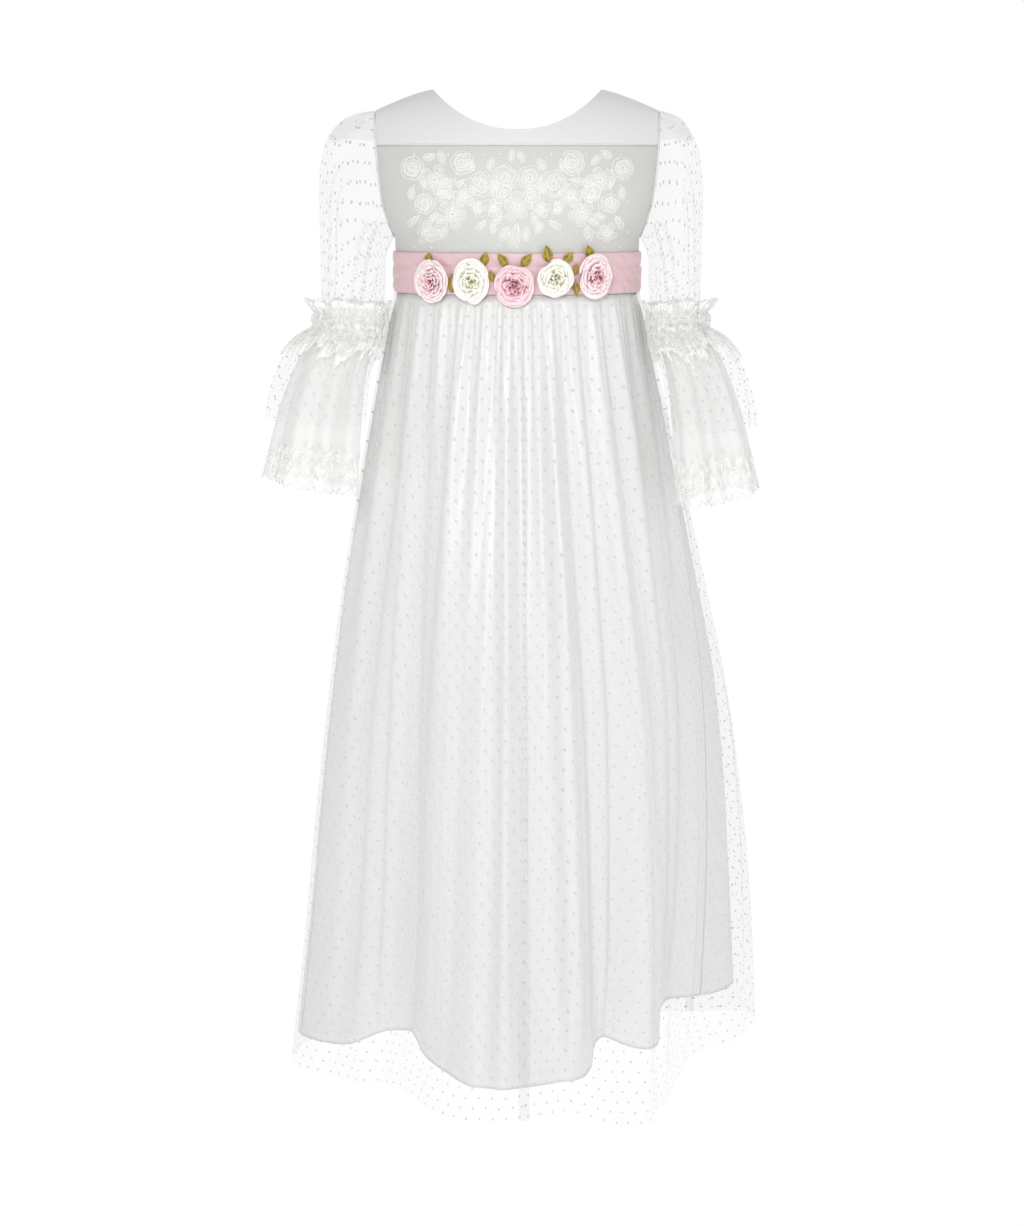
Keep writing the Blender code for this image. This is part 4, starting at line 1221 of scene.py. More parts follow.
    def edges(self) -> None:
        """Build the rolled edges of neck and armholes, and the stitched seams."""
        kit, form = self.wardrobe, self.form
        share = np.linspace(-1, 1, 121) * form.neck_corner_share * 0.998
        rows = []
        for front in (True, False):
            points = form.point(share, form.panel_top(share, front) - 0.4 * MM, front)
            points[..., 1] += (-1 if front else 1) * form.wall / 2
            rows.append(points)
        rim = np.stack(rows)
        up = np.broadcast_to(UP, rim.shape)
        worn(cords("neck_rolled_edge", rim, up, 0.95 * MM, kit.yoke, closed=False, sides=8), "yoke_net")
        x = np.linspace(-0.1335, 0.1335, 140)
        seam, normals = form.front_face(x, np.full_like(x, self.yoke_seam_z - 0.2 * MM))
        line = cords("yoke_seam", seam[None], normals[None], 0.6 * MM, kit.yoke, False, sides=8, flatten=0.4)
        worn(line, "yoke_net")
        above, normals = form.front_face(x, np.full_like(x, self.yoke_seam_z + 2.2 * MM))
        worn(stitches("yoke_stitches", above, normals, kit.thread, pitch=2.6 * MM), "yoke_net")
        u = np.linspace(0, 1, 90, endpoint=False)
        rings = np.stack([form.armhole(u, side, 0.6 * MM) for side in Side])
        away = np.zeros_like(rings)
        away[..., 0] = np.array([side.value for side in Side])[:, None]
        worn(cords("armhole_seams", rings, away, 0.7 * MM, kit.yoke, closed=True, sides=6), "yoke_net")

    def buttons(self) -> None:
        """Build the covered buttons, flattened balls with a pressed rim, and their cord loops."""
        kit = self.wardrobe
        loops, facing = [], []
        for number in range(1, self.button_count + 1):
            z = self.button_top_z - (number - 1) * self.button_pitch
            heights = (z, z + self.button_radius)
            y, above = (float(self.form.depth(np.array(0.0), np.array(h), False)) for h in heights)
            lean = math.atan2(y - above, self.button_radius)
            out = np.array([0.0, math.cos(lean), math.sin(lean)])
            up = np.array([0.0, -math.sin(lean), math.cos(lean)])
            side = np.array([1.0, 0.0, 0.0])
            base = np.array([0.0, y, z]) + out * (self.form.wall + 0.4 * MM)
            u, v = grid(24, 12)
            turn, rise = TAU * u, np.pi * (v - 0.5)
            ripple = 1 - 0.03 * np.cos(9 * turn) * np.clip(-np.sin(rise), 0, 1)
            flat = self.button_radius * 0.42
            points = base + out * (flat + flat * np.sin(rise) * ripple)[..., None]
            reach = (self.button_radius * np.cos(rise))[..., None]
            points = points + reach * (np.cos(turn)[..., None] * side + np.sin(turn)[..., None] * up)
            faces = grid_faces(u.shape[0], u.shape[1] - 1, closed=True)
            dome = make_mesh(f"button_{number}_cover", points[:, :-1], faces[:, ::-1], kit.button)
            mend(dome)
            places = dome.data.vertices
            corners = np.array([places[corner.vertex_index].co for corner in dome.data.loops]) - base
            lay_flat(dome, np.stack([corners @ side, corners @ up], -1))
            worn(dome, "button_satin", f"button_{number}")
            t = np.linspace(-0.62 * np.pi, 0.62 * np.pi, 20)
            ring = self.button_radius * 0.92
            loop = base + out * 0.5 * MM - side * ring * np.cos(t)[:, None] + up * ring * np.sin(t)[:, None]
            loops.append(loop)
            facing.append(np.broadcast_to(out, loop.shape))
        line = cords("button_loops", np.stack(loops), np.stack(facing), 0.55 * MM, kit.thread, closed=False)
        worn(line, "yoke_net")

    def build(self) -> None:
        """Build the whole bodice."""
        self.panels()
        self.garland()
        self.edges()
        self.buttons()


@dataclass
class Sash:
    """A ribbon round the waist, laid in three soft pleats, with roses and leaves sewn on its front."""

    wardrobe: Wardrobe
    form: TorsoForm = field(default_factory=TorsoForm)
    top_z: float = -0.155
    bottom_z: float = -0.1945
    gap: float = 0.7 * MM
    wall: float = 1.2 * MM
    pleats: int = 3
    pleat_height: float = 1.1 * MM
    pleat_power: float = 0.7

    def point(self, share: Array, z: Array, front: bool, wrinkle: float = 0.0) -> Array:
        """A point of the ribbon's inner face: the bodice's face moved out by its wall, a gap and the pleat.

        A pleat's height is h |sin(pi n s)|^0.7, where s is the share of the ribbon's width; wrinkles add
        w (sin(31 a + 9 s) sin(13 a - 4 s))^2, where a is the share of the way round.
        """
        base = self.form.point(share, z, front)
        s = (z - self.bottom_z) / (self.top_z - self.bottom_z)
        pleat = self.pleat_height * np.abs(np.sin(np.pi * self.pleats * s)) ** self.pleat_power
        ripple = wrinkle * (np.sin(31 * share + 9 * s) * np.sin(13 * share - 4 * s)) ** 2
        out = self.form.wall + self.gap + pleat + ripple
        depth = out * np.cos(share * np.pi / 2) * (-1 if front else 1)
        return base + stacked(out * np.sin(share * np.pi / 2), depth, np.zeros_like(out))

    def frame(self, x: float, z: float, gap: float) -> tuple[Array, Array]:
        """A frame on the sash's front: its axes as rows (across, up, away from it) and its origin."""
        share = np.array(math.asin(x / self.form.waist_half_width) / (math.pi / 2))
        bottom = self.point(share, np.array(self.bottom_z), front=True)
        top = self.point(share, np.array(self.top_z), front=True)
        up = unit(top - bottom)
        reach = np.array([self.form.waist_half_width, self.form.waist_depths[0], 1.0])
        outward = bottom * LEVEL / reach**2
        across = unit(np.cross(up, outward))
        normal = np.cross(across, up)
        face = bottom + (top - bottom) * (z - self.bottom_z) / (self.top_z - self.bottom_z)
        return np.stack([across, up, normal]), face + normal * (self.pleat_height + self.wall + gap)

    def ribbons(self) -> None:
        """Build the front and back lengths."""
        for half, front in (("front", True), ("back", False)):

            def surface(u: Array, v: Array, front: bool = front) -> Array:
                """The ribbon's outer face."""
                z = self.bottom_z + v * (self.top_z - self.bottom_z)
                share = u * 2 - 1
                inner = self.point(share, z, front, wrinkle=1.0 * MM)
                depth = self.wall * np.cos(share * np.pi / 2) * (-1 if front else 1)
                return inner + stacked(self.wall * np.sin(share * np.pi / 2), depth, np.zeros_like(z))

            node = f"sash_{half}"
            sheet = Sheet(f"{node}_ribbon", surface, 130, 36, (0.32, 0.044), self.wardrobe.ribbon, 0.8 * MM)
            sewn(sheet, "ribbon_pink", "gathered", ["bodice_front_satin"], node)

    def build(self) -> None:
        """Build the ribbon, the roses and the leaves."""
        self.ribbons()
        for number, spec in enumerate(ROSES, start=1):
            Rose(self, spec, number).build()
        for number, spec in enumerate(LEAVES, start=1):
            self.leaf(number, spec)

    def leaf(self, number: int, spec: "LeafSpec") -> None:
        """Build a leaf, folded along its midrib, with a toothed edge and a curled tip.

        Half its width is w/2 sin(pi s^0.85)^1.15 (1 + teeth), its fold lifts 0.3 |across|, and its tip
        rises as 0.12 s^3 of its length.
        """
        axes, origin = self.frame(
            spec.x - spec.length / 2 * math.sin(math.radians(spec.direction)),
            spec.z - spec.length / 2 * math.cos(math.radians(spec.direction)),
            0.3 * MM,
        )
        turn, tilt = math.radians(spec.direction), math.radians(1.5)

        def blade(u: Array, v: Array) -> Array:
            """The leaf's upper face in the sash's frame, then in the row's."""
            stretch = (0.05 + 0.93 * v) ** 0.85
            teeth = 1 + 0.10 * np.abs(np.sin(7 * np.pi * v)) * np.abs(u * 2 - 1) ** 4
            half = spec.width / 2 * np.sin(np.pi * stretch) ** 1.15 * teeth
            across, along = (u * 2 - 1) * half, spec.length * v
            lift = np.abs(across) * 0.3 + along * math.sin(tilt) + 0.8 * MM + 0.12 * spec.length * v**3
            right = across * math.cos(turn) + along * math.sin(turn)
            upward = -across * math.sin(turn) + along * math.cos(turn)
            return origin + stacked(right, upward, lift) @ axes

        name, size = f"leaf_{number}", (spec.width, spec.length)
        sheet = Sheet(f"{name}_blade", blade, 12, 24, size, self.wardrobe.leaf, 0.5 * MM)
        worn(sheet.build(), "leaf_green", name)


class RoseSpec(NamedTuple):
    """A rose on the sash: place from the front, reach across and upwards, turn and finish."""

    x: float
    z: float
    half_width: float
    half_height: float
    turn: float
    finish: str
    slot: str


ROSES = (
    RoseSpec(-0.0785, -0.1820, 0.0194, 0.0215, 0.3, "rose_pink", "rose_pink"),
    RoseSpec(-0.0425, -0.1815, 0.0190, 0.0225, 1.1, "rose_ivory", "rose_ivory"),
    RoseSpec(-0.0030, -0.1845, 0.0200, 0.0215, 2.0, "rose_deep", "rose_pink"),
    RoseSpec(0.0350, -0.1785, 0.0180, 0.0192, 0.7, "rose_ivory", "rose_ivory"),
    RoseSpec(0.0715, -0.1770, 0.0192, 0.0220, 1.6, "rose_pink", "rose_pink"),
)


class LeafSpec(NamedTuple):
    """A leaf: middle from the front, direction in degrees clockwise from straight up, and size."""

    x: float
    z: float
    direction: float
    length: float
    width: float


LEAVES = (
    LeafSpec(-0.0805, -0.1595, 10, 0.010, 0.0085),
    LeafSpec(-0.0600, -0.1835, 3, 0.018, 0.0070),
    LeafSpec(-0.0295, -0.1600, 14, 0.014, 0.0080),
    LeafSpec(-0.0232, -0.1765, -15, 0.011, 0.0060),
    LeafSpec(-0.0136, -0.1610, -35, 0.015, 0.0080),
    LeafSpec(0.0085, -0.1610, 38, 0.015, 0.0080),
    LeafSpec(0.0272, -0.1550, -10, 0.016, 0.0090),
    LeafSpec(0.0470, -0.1590, 35, 0.013, 0.0080),
    LeafSpec(0.0535, -0.1705, 8, 0.011, 0.0060),
    LeafSpec(0.0650, -0.1535, -22, 0.013, 0.0085),
    LeafSpec(0.0540, -0.1890, 178, 0.013, 0.0070),
)


class PetalRing(NamedTuple):
    """A ring of petals, in shares of the rose's reach and depth."""

    petals: int
    root: float  # radius of the petals' roots
    tip: float  # radius of their rims
    low: float  # height of their roots
    high: float  # height of their rims
    span: float  # half the angle that one covers, in degrees
    curl: float  # how far the rim turns outwards


PETAL_RINGS = (
    PetalRing(3, 0.34, 0.97, 0.00, 0.40, 70, 0.04),
    PetalRing(4, 0.30, 0.87, 0.04, 0.58, 56, 0.04),
    PetalRing(4, 0.24, 0.72, 0.10, 0.76, 55, 0.03),
    PetalRing(5, 0.17, 0.55, 0.16, 0.90, 46, 0.02),
    PetalRing(4, 0.10, 0.38, 0.22, 0.97, 58, 0.01),
    PetalRing(3, 0.03, 0.20, 0.30, 1.00, 82, 0.0),
)


@dataclass
class Rose:
    """A fabric rose: rings of cupped petals with crumpled rims, steeper towards the heart."""

    sash: Sash
    spec: RoseSpec
    number: int
    depth: float = 0.0160
    petal_wall: float = 0.30 * MM
    lean: float = 0.55  # how far an outer rose's head turns back towards the front

    def petal(self, ring: PetalRing, order: int, u: Array, v: Array) -> Array:
        """A petal's face in the rose's own frame.

        At share v from root to rim its radius is root + (tip - root) v^0.8 + curl v^4 and its height
        low + (high - low) sin(pi v / 2). Its rim waves by 3, 7 and 12 waves, the more the nearer the
        heart, and its corners are rounded off by 1 - 0.25 a^4, where a is the share across.
        """
        rng = np.random.default_rng([self.number, round(ring.tip * 100), order])
        turn_off, size_off, tall_off, *phase = rng.uniform(-1, 1, 8)
        a = u * 2 - 1
        crumple = 0.35 + 1.1 * (1 - ring.tip)
        middle = self.spec.turn + ring.tip * 9 + TAU * (order + 0.22 * turn_off) / ring.petals
        turn = middle + math.radians(ring.span) * a * (0.55 + 0.45 * v**0.5)
        reach = v * (1 - 0.25 * a**4 * v)
        wave = 0.05 * np.sin(3 * a + 3 * phase[0]) + 0.045 * np.sin(7 * a + 3 * phase[1])
        wave = (wave + 0.03 * np.sin(12 * a + 3 * phase[2])) * crumple * v**2
        tip, high = ring.tip * (1 + 0.09 * size_off), ring.high * (1 + 0.08 * tall_off)
        radius = ring.root + (tip - ring.root) * reach**0.8 + ring.curl * v**4 + wave
        height = ring.low + (high - ring.low) * np.sin(np.pi / 2 * reach) - 0.06 * v**6
        height = height + 0.09 * crumple * np.sin(5 * a + 3 * phase[3]) * v**3
        radius, height = np.clip(radius, 0.01, 1.0), np.clip(height, 0.01, 1.0)
        off = 0.10 * (1 - ring.tip)
        lean = -self.lean * self.spec.x / self.sash.form.waist_half_width
        return stacked(
            self.spec.half_width * (radius * np.cos(turn) + off * phase[4]) + self.depth * height * lean,
            self.spec.half_height * radius * np.sin(turn),
            self.depth * height,
        )

    def build(self) -> None:
        """Build every petal as one mesh, each a grid with its own UV from root to rim."""
        axes, origin = self.sash.frame(self.spec.x, self.spec.z, 0.4 * MM)
        u, v = grid(14, 8)
        petals = [self.petal(ring, k, u, v) for ring in PETAL_RINGS for k in range(ring.petals)]
        points = origin + np.stack(petals) @ axes
        faces = copied(grid_faces(*u.shape, closed=False), len(petals), u.size)
        material = getattr(self.sash.wardrobe, self.spec.finish)
        obj = make_mesh(f"rose_{self.number}_petals", points, faces, material)
        # inner rings reach less far towards the rim colour: a painted shade in the heart of the rose
        rise = np.concatenate([np.full(ring.petals, 1.0 - 0.45 * (1 - ring.tip)) for ring in PETAL_RINGS])
        places = np.stack([np.broadcast_to(u, (len(petals), *u.shape)), v[None] * rise[:, None, None]], -1)
        lay_flat(obj, places.reshape(-1, 2)[faces.ravel()])
        add_wall(obj, self.petal_wall, 0.0)
        worn(obj, self.spec.slot, f"rose_{self.number}")


class Hem(NamedTuple):
    """The hems at an angle: the satin's radius and height, and the net's."""

    angle: float
    satin_radius: float
    satin_z: float
    net_radius: float
    net_z: float


HEM = (
    Hem(-93, 0.224, -0.949, 0.232, -0.983),
    Hem(-81, 0.199, -0.948, 0.210, -0.980),
    Hem(-72, 0.176, -0.943, 0.190, -0.977),
    Hem(-63, 0.147, -0.926, 0.176, -0.976),
    Hem(-54, 0.134, -0.923, 0.167, -0.972),
    Hem(-45, 0.137, -0.927, 0.161, -0.970),
    Hem(-36, 0.146, -0.937, 0.167, -0.972),
    Hem(-27, 0.157, -0.943, 0.184, -0.977),
    Hem(-14, 0.176, -0.950, 0.197, -0.980),
    Hem(-3, 0.182, -0.949, 0.197, -0.978),
    Hem(8, 0.178, -0.948, 0.191, -0.977),
    Hem(19, 0.168, -0.946, 0.182, -0.979),
    Hem(26, 0.156, -0.945, 0.190, -0.988),
    Hem(32, 0.142, -0.938, 0.198, -0.993),
    Hem(38, 0.126, -0.926, 0.198, -0.995),
    Hem(44, 0.124, -0.925, 0.190, -0.994),
    Hem(50, 0.145, -0.934, 0.180, -0.991),
    Hem(57, 0.160, -0.937, 0.175, -0.988),
    Hem(64, 0.157, -0.932, 0.172, -0.984),
    Hem(71, 0.147, -0.914, 0.170, -0.979),
    Hem(78, 0.152, -0.905, 0.173, -0.970),
    Hem(87, 0.178, -0.907, 0.190, -0.963),
    Hem(95, 0.203, -0.911, 0.217, -0.966),
    Hem(101, 0.224, -0.912, 0.240, -0.965),
    Hem(108, 0.238, -0.916, 0.264, -0.961),
    Hem(115, 0.236, -0.922, 0.268, -0.960),
    Hem(124, 0.221, -0.929, 0.246, -0.966),
    Hem(136, 0.193, -0.934, 0.213, -0.972),
    Hem(150, 0.187, -0.940, 0.204, -0.977),
    Hem(163, 0.200, -0.944, 0.216, -0.980),
    Hem(177, 0.193, -0.945, 0.209, -0.980),
    Hem(191, 0.183, -0.944, 0.200, -0.979),
    Hem(204, 0.197, -0.945, 0.213, -0.980),
    Hem(218, 0.182, -0.943, 0.199, -0.979),
    Hem(232, 0.197, -0.945, 0.213, -0.980),
    Hem(246, 0.216, -0.947, 0.229, -0.981),
    Hem(258, 0.222, -0.948, 0.233, -0.982),
)


class Spread(NamedTuple):
    """How far the skirts have spread from the waist's oval to the hem's, at a share of their length."""

    length_share: float
    right: float
    left: float


SPREAD = (
    Spread(0.00, 0.00, 0.00),
    Spread(0.065, 0.085, 0.100),
    Spread(0.15, 0.20, 0.245),
    Spread(0.27, 0.352, 0.435),
    Spread(0.40, 0.51, 0.62),
    Spread(0.535, 0.645, 0.80),
    Spread(0.665, 0.75, 0.90),
    Spread(0.80, 0.84, 0.965),
    Spread(1.00, 1.00, 1.00),
)


class Crease(NamedTuple):
    """A ridge, or a trough where its height is below 0, that runs down both skirts."""

    angle: float  # at the hem, in degrees from the front
    lean: float  # how much nearer 0 degrees its top is
    height: float  # mm
    width: float  # degrees from its middle to where it has almost gone
    start: float  # share of the skirt's length
    end: float


CREASES = (
    Crease(-54, 6, -5.5, 6.0, 0.12, 1.10),
    Crease(-38, 6, 6.0, 11.0, 0.06, 1.10),
    Crease(-29, 3, 2.5, 5.0, 0.22, 1.10),
    Crease(-20, 2, -2.5, 4.5, 0.05, 0.60),
    Crease(-10, 1, -4.5, 5.0, 0.12, 1.10),
    Crease(-4, 0, 2.5, 3.0, 0.35, 1.10),
    Crease(8, -1, -9.0, 14.0, 0.08, 1.10),
    Crease(19, -2, 6.5, 5.0, 0.06, 1.10),
    Crease(23, -3, 4.5, 3.6, 0.30, 1.10),
    Crease(33, -4, -6.0, 5.0, 0.20, 1.10),
    Crease(41, -5, 5.0, 4.5, 0.16, 1.10),
    Crease(53, -6, 5.0, 5.5, 0.28, 1.10),
    Crease(62, -6, -4.0, 5.0, 0.10, 0.85),
    Crease(74, -5, 4.0, 5.5, 0.20, 1.10),
    Crease(-62, 6, 4.5, 5.0, 0.15, 1.10),
    Crease(-75, 5, -4.0, 5.5, 0.20, 1.10),
    Crease(104, 4, -4.5, 5.0, 0.15, 1.10),
    Crease(119, 4, 4.5, 5.0, 0.20, 1.10),
    Crease(131, 3, -4.0, 5.5, 0.10, 0.90),
    Crease(146, 3, 4.5, 5.5, 0.26, 1.10),
    Crease(158, 2, -4.5, 4.5, 0.14, 1.10),
    Crease(170, 1, 4.0, 5.0, 0.18, 1.10),
    Crease(184, 0, -4.5, 5.0, 0.12, 1.10),
    Crease(197, -2, 4.5, 5.0, 0.24, 1.10),
    Crease(211, -2, -4.0, 5.5, 0.16, 1.10),
    Crease(225, -3, 4.5, 4.5, 0.20, 1.10),
    Crease(239, -4, -4.5, 5.5, 0.14, 1.10),
    Crease(252, -4, 4.0, 5.0, 0.22, 1.10),
)


CREASE_DEPTH = 1.7  # times each crease's height


class NetFold(NamedTuple):
    """A flat fold of the net: its angle at the hem, its lean, and its half length at top and hem."""

    angle: float  # degrees from the front
    lean: float
    top: float  # degrees
    hem: float
    start: float  # share of the length where it starts


NET_FOLDS = {
    "front": (NetFold(2.0, 1.5, 1.4, 3.4, 0.0),),
    "back": (
        NetFold(128.0, 3.0, 0.6, 1.6, 0.25),
        NetFold(177.0, 1.0, 1.2, 3.4, 0.05),
        NetFold(221.0, -3.0, 0.8, 1.6, 0.35),
    ),
}


@dataclass
class Skirts:
    """A satin underskirt and the longer dotted net over it, each of a front and a back."""

    wardrobe: Wardrobe
    waist: tuple[float, float, float, float] = (0.117, 0.117, 0.080, 0.072)  # right, left, front, back
    satin_oval: tuple[float, float, float, float] = (0.222, 0.230, 0.158, 0.190)
    net_oval: tuple[float, float, float, float] = (0.231, 0.258, 0.182, 0.208)
    top_z: float = -0.1954
    net_out: float = 3.1 * MM
    side_gap: float = -0.3 * MM  # the halves overlap by this, as a sewn seam does
    gathers: int = 26
    gather_height: float = 3.2 * MM
    fine_height: float = 1.0 * MM
    satin_wall: float = 0.8 * MM
    fold_step: float = 0.6 * MM  # between the layers of the folded net

    @staticmethod
    def oval(angle: Array, right: float, left: float, front: float, back: float) -> Array:
        """Radius of an oval of four quarter ellipses at an angle in degrees from the front."""
        sine, cosine = np.sin(np.radians(angle)), np.cos(np.radians(angle))
        across, along = np.where(sine < 0, right, left), np.where(cosine > 0, front, back)
        return 1 / np.sqrt((sine / across) ** 2 + (cosine / along) ** 2)

    @staticmethod
    def hem(angle: Array, name: str) -> Array:
        """A column of the hem's table at any angle, going smoothly round."""
        angles, values = column(HEM, "angle"), column(HEM, name)
        turned_angle = (np.asarray(angle, float) - angles[0]) % 360 + angles[0]
        angles = np.concatenate([angles[-3:] - 360, angles, angles[:3] + 360])
        return smooth_through(turned_angle, angles, np.concatenate([values[-3:], values, values[:3]]))

    @staticmethod
    def creases(angle: Array, share: Array) -> Array:
        """The creases' height: each is 1.7 h exp(-(d / w)^3) (0.35 + 0.65 s), faded in and out along it.

        d is the angle from its middle line, which leans in towards the front as it rises, w three
        fifths of its width and s the share of the skirt's length.
        """
        total = np.zeros(np.broadcast(angle, share).shape)
        for crease in CREASES:
            middle = crease.angle + crease.lean * (1 - share)
            away = (angle - middle + 180) % 360 - 180
            shape = np.exp(-(np.abs(away / (crease.width * 0.6)) ** 3))
            there = fade(share, crease.start - 0.12, crease.start + 0.12)
            there = there * (1 - fade(share, crease.end - 0.25, crease.end))
            total = total + CREASE_DEPTH * crease.height * MM * shape * there * (0.35 + 0.65 * share)
        return total

    def point(self, angle: Array, share: Array, layer: str, out: float) -> Array:
        """A point of a skirt, at an angle in degrees from the front and a share of its length.

        The waist's oval spreads to the hanging oval by the table of spread, the hem table's folds
        deepen with the share, the gathers fade out below the waist, and creases and finer gathers are
        added to both skirts alike.
        """
        oval = self.satin_oval if layer == "satin" else self.net_oval
        waist = self.oval(angle, *self.waist) + (0 if layer == "satin" else self.net_out)
        hang = self.oval(angle, *oval)
        t = np.clip((share - 0.006) / 0.994, 0, 1)
        shares = column(SPREAD, "length_share")
        on_right = smooth_through(t, shares, column(SPREAD, "right"))
        on_left = smooth_through(t, shares, column(SPREAD, "left"))
        spread = on_right + (on_left - on_right) * np.clip(np.sin(np.radians(angle)), 0, 1)
        fold = self.hem(angle, f"{layer}_radius") - hang
        deep = np.sin(np.pi * np.clip(t / 0.55, 0, 1) ** 0.6) ** 0.8
        turn = np.radians(angle)
        gather = -self.gather_height * np.cos(turn * self.gathers) * deep
        fine = fine_gathers(78, 5, turn) * fade(t, 0, 0.02) * (1 - fade(t, 0.03, 0.20))
        radius = waist + (hang - waist) * spread + fold * t + gather + self.fine_height * fine
        radius = radius + self.creases(angle, t) * fade(t, 0, 0.1) + out
        z = self.top_z + share * (self.hem(angle, f"{layer}_z") - self.top_z)
        return stacked(radius * np.sin(turn), -radius * np.cos(turn), z)

    def satin(self, half: str) -> Surface:
        """The satin's outer face; v runs up from the hem."""
        start, side_y = (-90, -1) if half == "front" else (90, 1)

        def surface(u: Array, v: Array) -> Array:
            """The skirt's point, with its half moved off the side seams by half their gap."""
            points = self.point(start + 180 * u, 1 - v, "satin", 1.0 * MM)
            return points + np.array([0, side_y * self.side_gap / 2, 0])

        return surface

    def net(self, half: str) -> Surface:
        """The net, laid in long flat folds down the front and the back; v runs up from the hem."""
        start, side_y = (-90, -1) if half == "front" else (90, 1)
        folds = NET_FOLDS[half]

        def surface(u: Array, v: Array) -> Array:
            """The skirt's point, with the folds, moved off the side seams."""
            share = 1 - v
            laid = []
            for fold in folds:
                reach = fold.top + (fold.hem - fold.top) * share
                reach = reach * fade(share, fold.start, fold.start + 0.12)
                laid.append((fold.angle + fold.lean * (1 - share), reach))
            angle, lift = folded(start + u * with_folds(180, laid), laid, 9.0)
            points = self.point(angle, share, "net", 0.5 * MM)
            away = unit(points * LEVEL)
            points = points + away * (lift * 4 * self.fold_step)[..., None]
            return points + np.array([0, side_y * self.side_gap / 2, 0])

        return surface

    def build(self) -> None:
        """Build both skirts, the satin's rolled hem and its line of stitches."""
        kit, wall, top = self.wardrobe, self.satin_wall, 0.36
        for half, bodice in (("front", "bodice_front"), ("back", "bodice_back_left")):
            node, cut = f"underskirt_{half}", (0.70, 0.765)
            sheet = Sheet(f"{node}_satin", self.satin(half), 200, 96, cut, kit.satin, wall, top_width=top)
            sewn(sheet, "satin", "gathered", [bodice], node)
            over, cut = f"overskirt_{half}", (0.80, 0.805)
            sheet = Sheet(f"{over}_net", self.net(half), 320, 100, cut, kit.skirt_net, top_width=top)
            sewn(sheet, "dotted_net", "gathered", [node], over)
        angle = np.linspace(0, 360, 360, endpoint=False)
        ring = self.point(angle, np.ones_like(angle), "satin", 0.6 * MM)
        up = np.broadcast_to(UP, ring.shape)
        roll = cords("satin_hem_roll", ring[None], up[None], 0.5 * MM, kit.satin, closed=True, sides=6)
        worn(roll, "satin")
        line = self.point(angle, np.full_like(angle, 0.984), "satin", 1.0 * MM)
        facing = unit(line * LEVEL)
        worn(stitches("satin_hem_stitches", line, facing, kit.thread, pitch=3.0 * MM), "satin")


class Ring(NamedTuple):
    """A ring of a sleeve: its outer and its inner point seen from the front, and its middle and depth."""

    outer_x: float
    outer_z: float
    inner_x: float
    inner_z: float
    y: float
    half_depth: float


SLEEVE = (
    Ring(0.1385, -0.018, 0.1200, -0.143, 0.000, 0.038),
    Ring(0.1520, -0.022, 0.1235, -0.147, -0.001, 0.043),
    Ring(0.1700, -0.029, 0.1260, -0.154, -0.004, 0.048),
    Ring(0.1840, -0.047, 0.1275, -0.162, -0.008, 0.051),
    Ring(0.1915, -0.078, 0.1275, -0.171, -0.014, 0.050),
    Ring(0.1925, -0.118, 0.1275, -0.181, -0.021, 0.046),
    Ring(0.1910, -0.158, 0.1275, -0.192, -0.029, 0.041),
    Ring(0.1895, -0.192, 0.1280, -0.204, -0.035, 0.036),
    Ring(0.1880, -0.218, 0.1290, -0.219, -0.039, 0.032),
)
FRILL = (
    Ring(0.1896, -0.2200, 0.1275, -0.2210, -0.039, 0.0336),
    Ring(0.1985, -0.2100, 0.1245, -0.2120, -0.038, 0.0400),
    Ring(0.2050, -0.2000, 0.1225, -0.2030, -0.038, 0.0440),
)
LACE_FLOUNCE = (
    Ring(0.1880, -0.2192, 0.1290, -0.2202, -0.039, 0.032),
    Ring(0.1885, -0.2230, 0.1295, -0.2240, -0.040, 0.033),
    Ring(0.1990, -0.2370, 0.1370, -0.2400, -0.044, 0.036),
    Ring(0.2130, -0.2650, 0.1470, -0.2710, -0.051, 0.041),
    Ring(0.2250, -0.3000, 0.1520, -0.3080, -0.059, 0.046),
    Ring(0.2340, -0.3370, 0.1550, -0.3480, -0.067, 0.050),
    Ring(0.2410, -0.3700, 0.1570, -0.3860, -0.075, 0.053),
)
NET_FLOUNCE = (
    Ring(0.1908, -0.2216, 0.1278, -0.2226, -0.0399, 0.0349),
    Ring(0.2120, -0.2370, 0.1310, -0.2420, -0.044, 0.0435),
    Ring(0.2280, -0.2600, 0.1400, -0.2670, -0.051, 0.0490),
    Ring(0.2380, -0.2880, 0.1455, -0.2950, -0.058, 0.0540),
    Ring(0.2400, -0.3140, 0.1480, -0.3180, -0.064, 0.0570),
)
# Leaves round each flower of a flounce's border: aside, up, reach and turn in degrees
BORDER_LEAVES = (
    (0.0095, 0.0165, 0.0110, 15),
    (-0.0095, 0.0165, 0.0110, 165),
    (0.0060, 0.0290, 0.0115, 58),
    (-0.0050, 0.0300, 0.0105, 125),
)
# Flat folds of an upper sleeve: angle round it at its head and at the elbow, half length and start
SLEEVE_FOLDS = (
    (1.15, 0.75, 0.09, 0.30),
    (2.35, 1.45, 0.13, 0.16),
    (2.95, 2.10, 0.10, 0.45),
    (3.90, 4.60, 0.11, 0.25),
    (5.00, 5.45, 0.09, 0.35),
)


def ring_value(table: tuple[Ring, ...], name: str, v: Array) -> Array:
    """A column of a table of rings at v, from 0 at its first ring to 1 at its last."""
    return smooth_through(v, np.linspace(0, 1, len(table)), column(table, name))


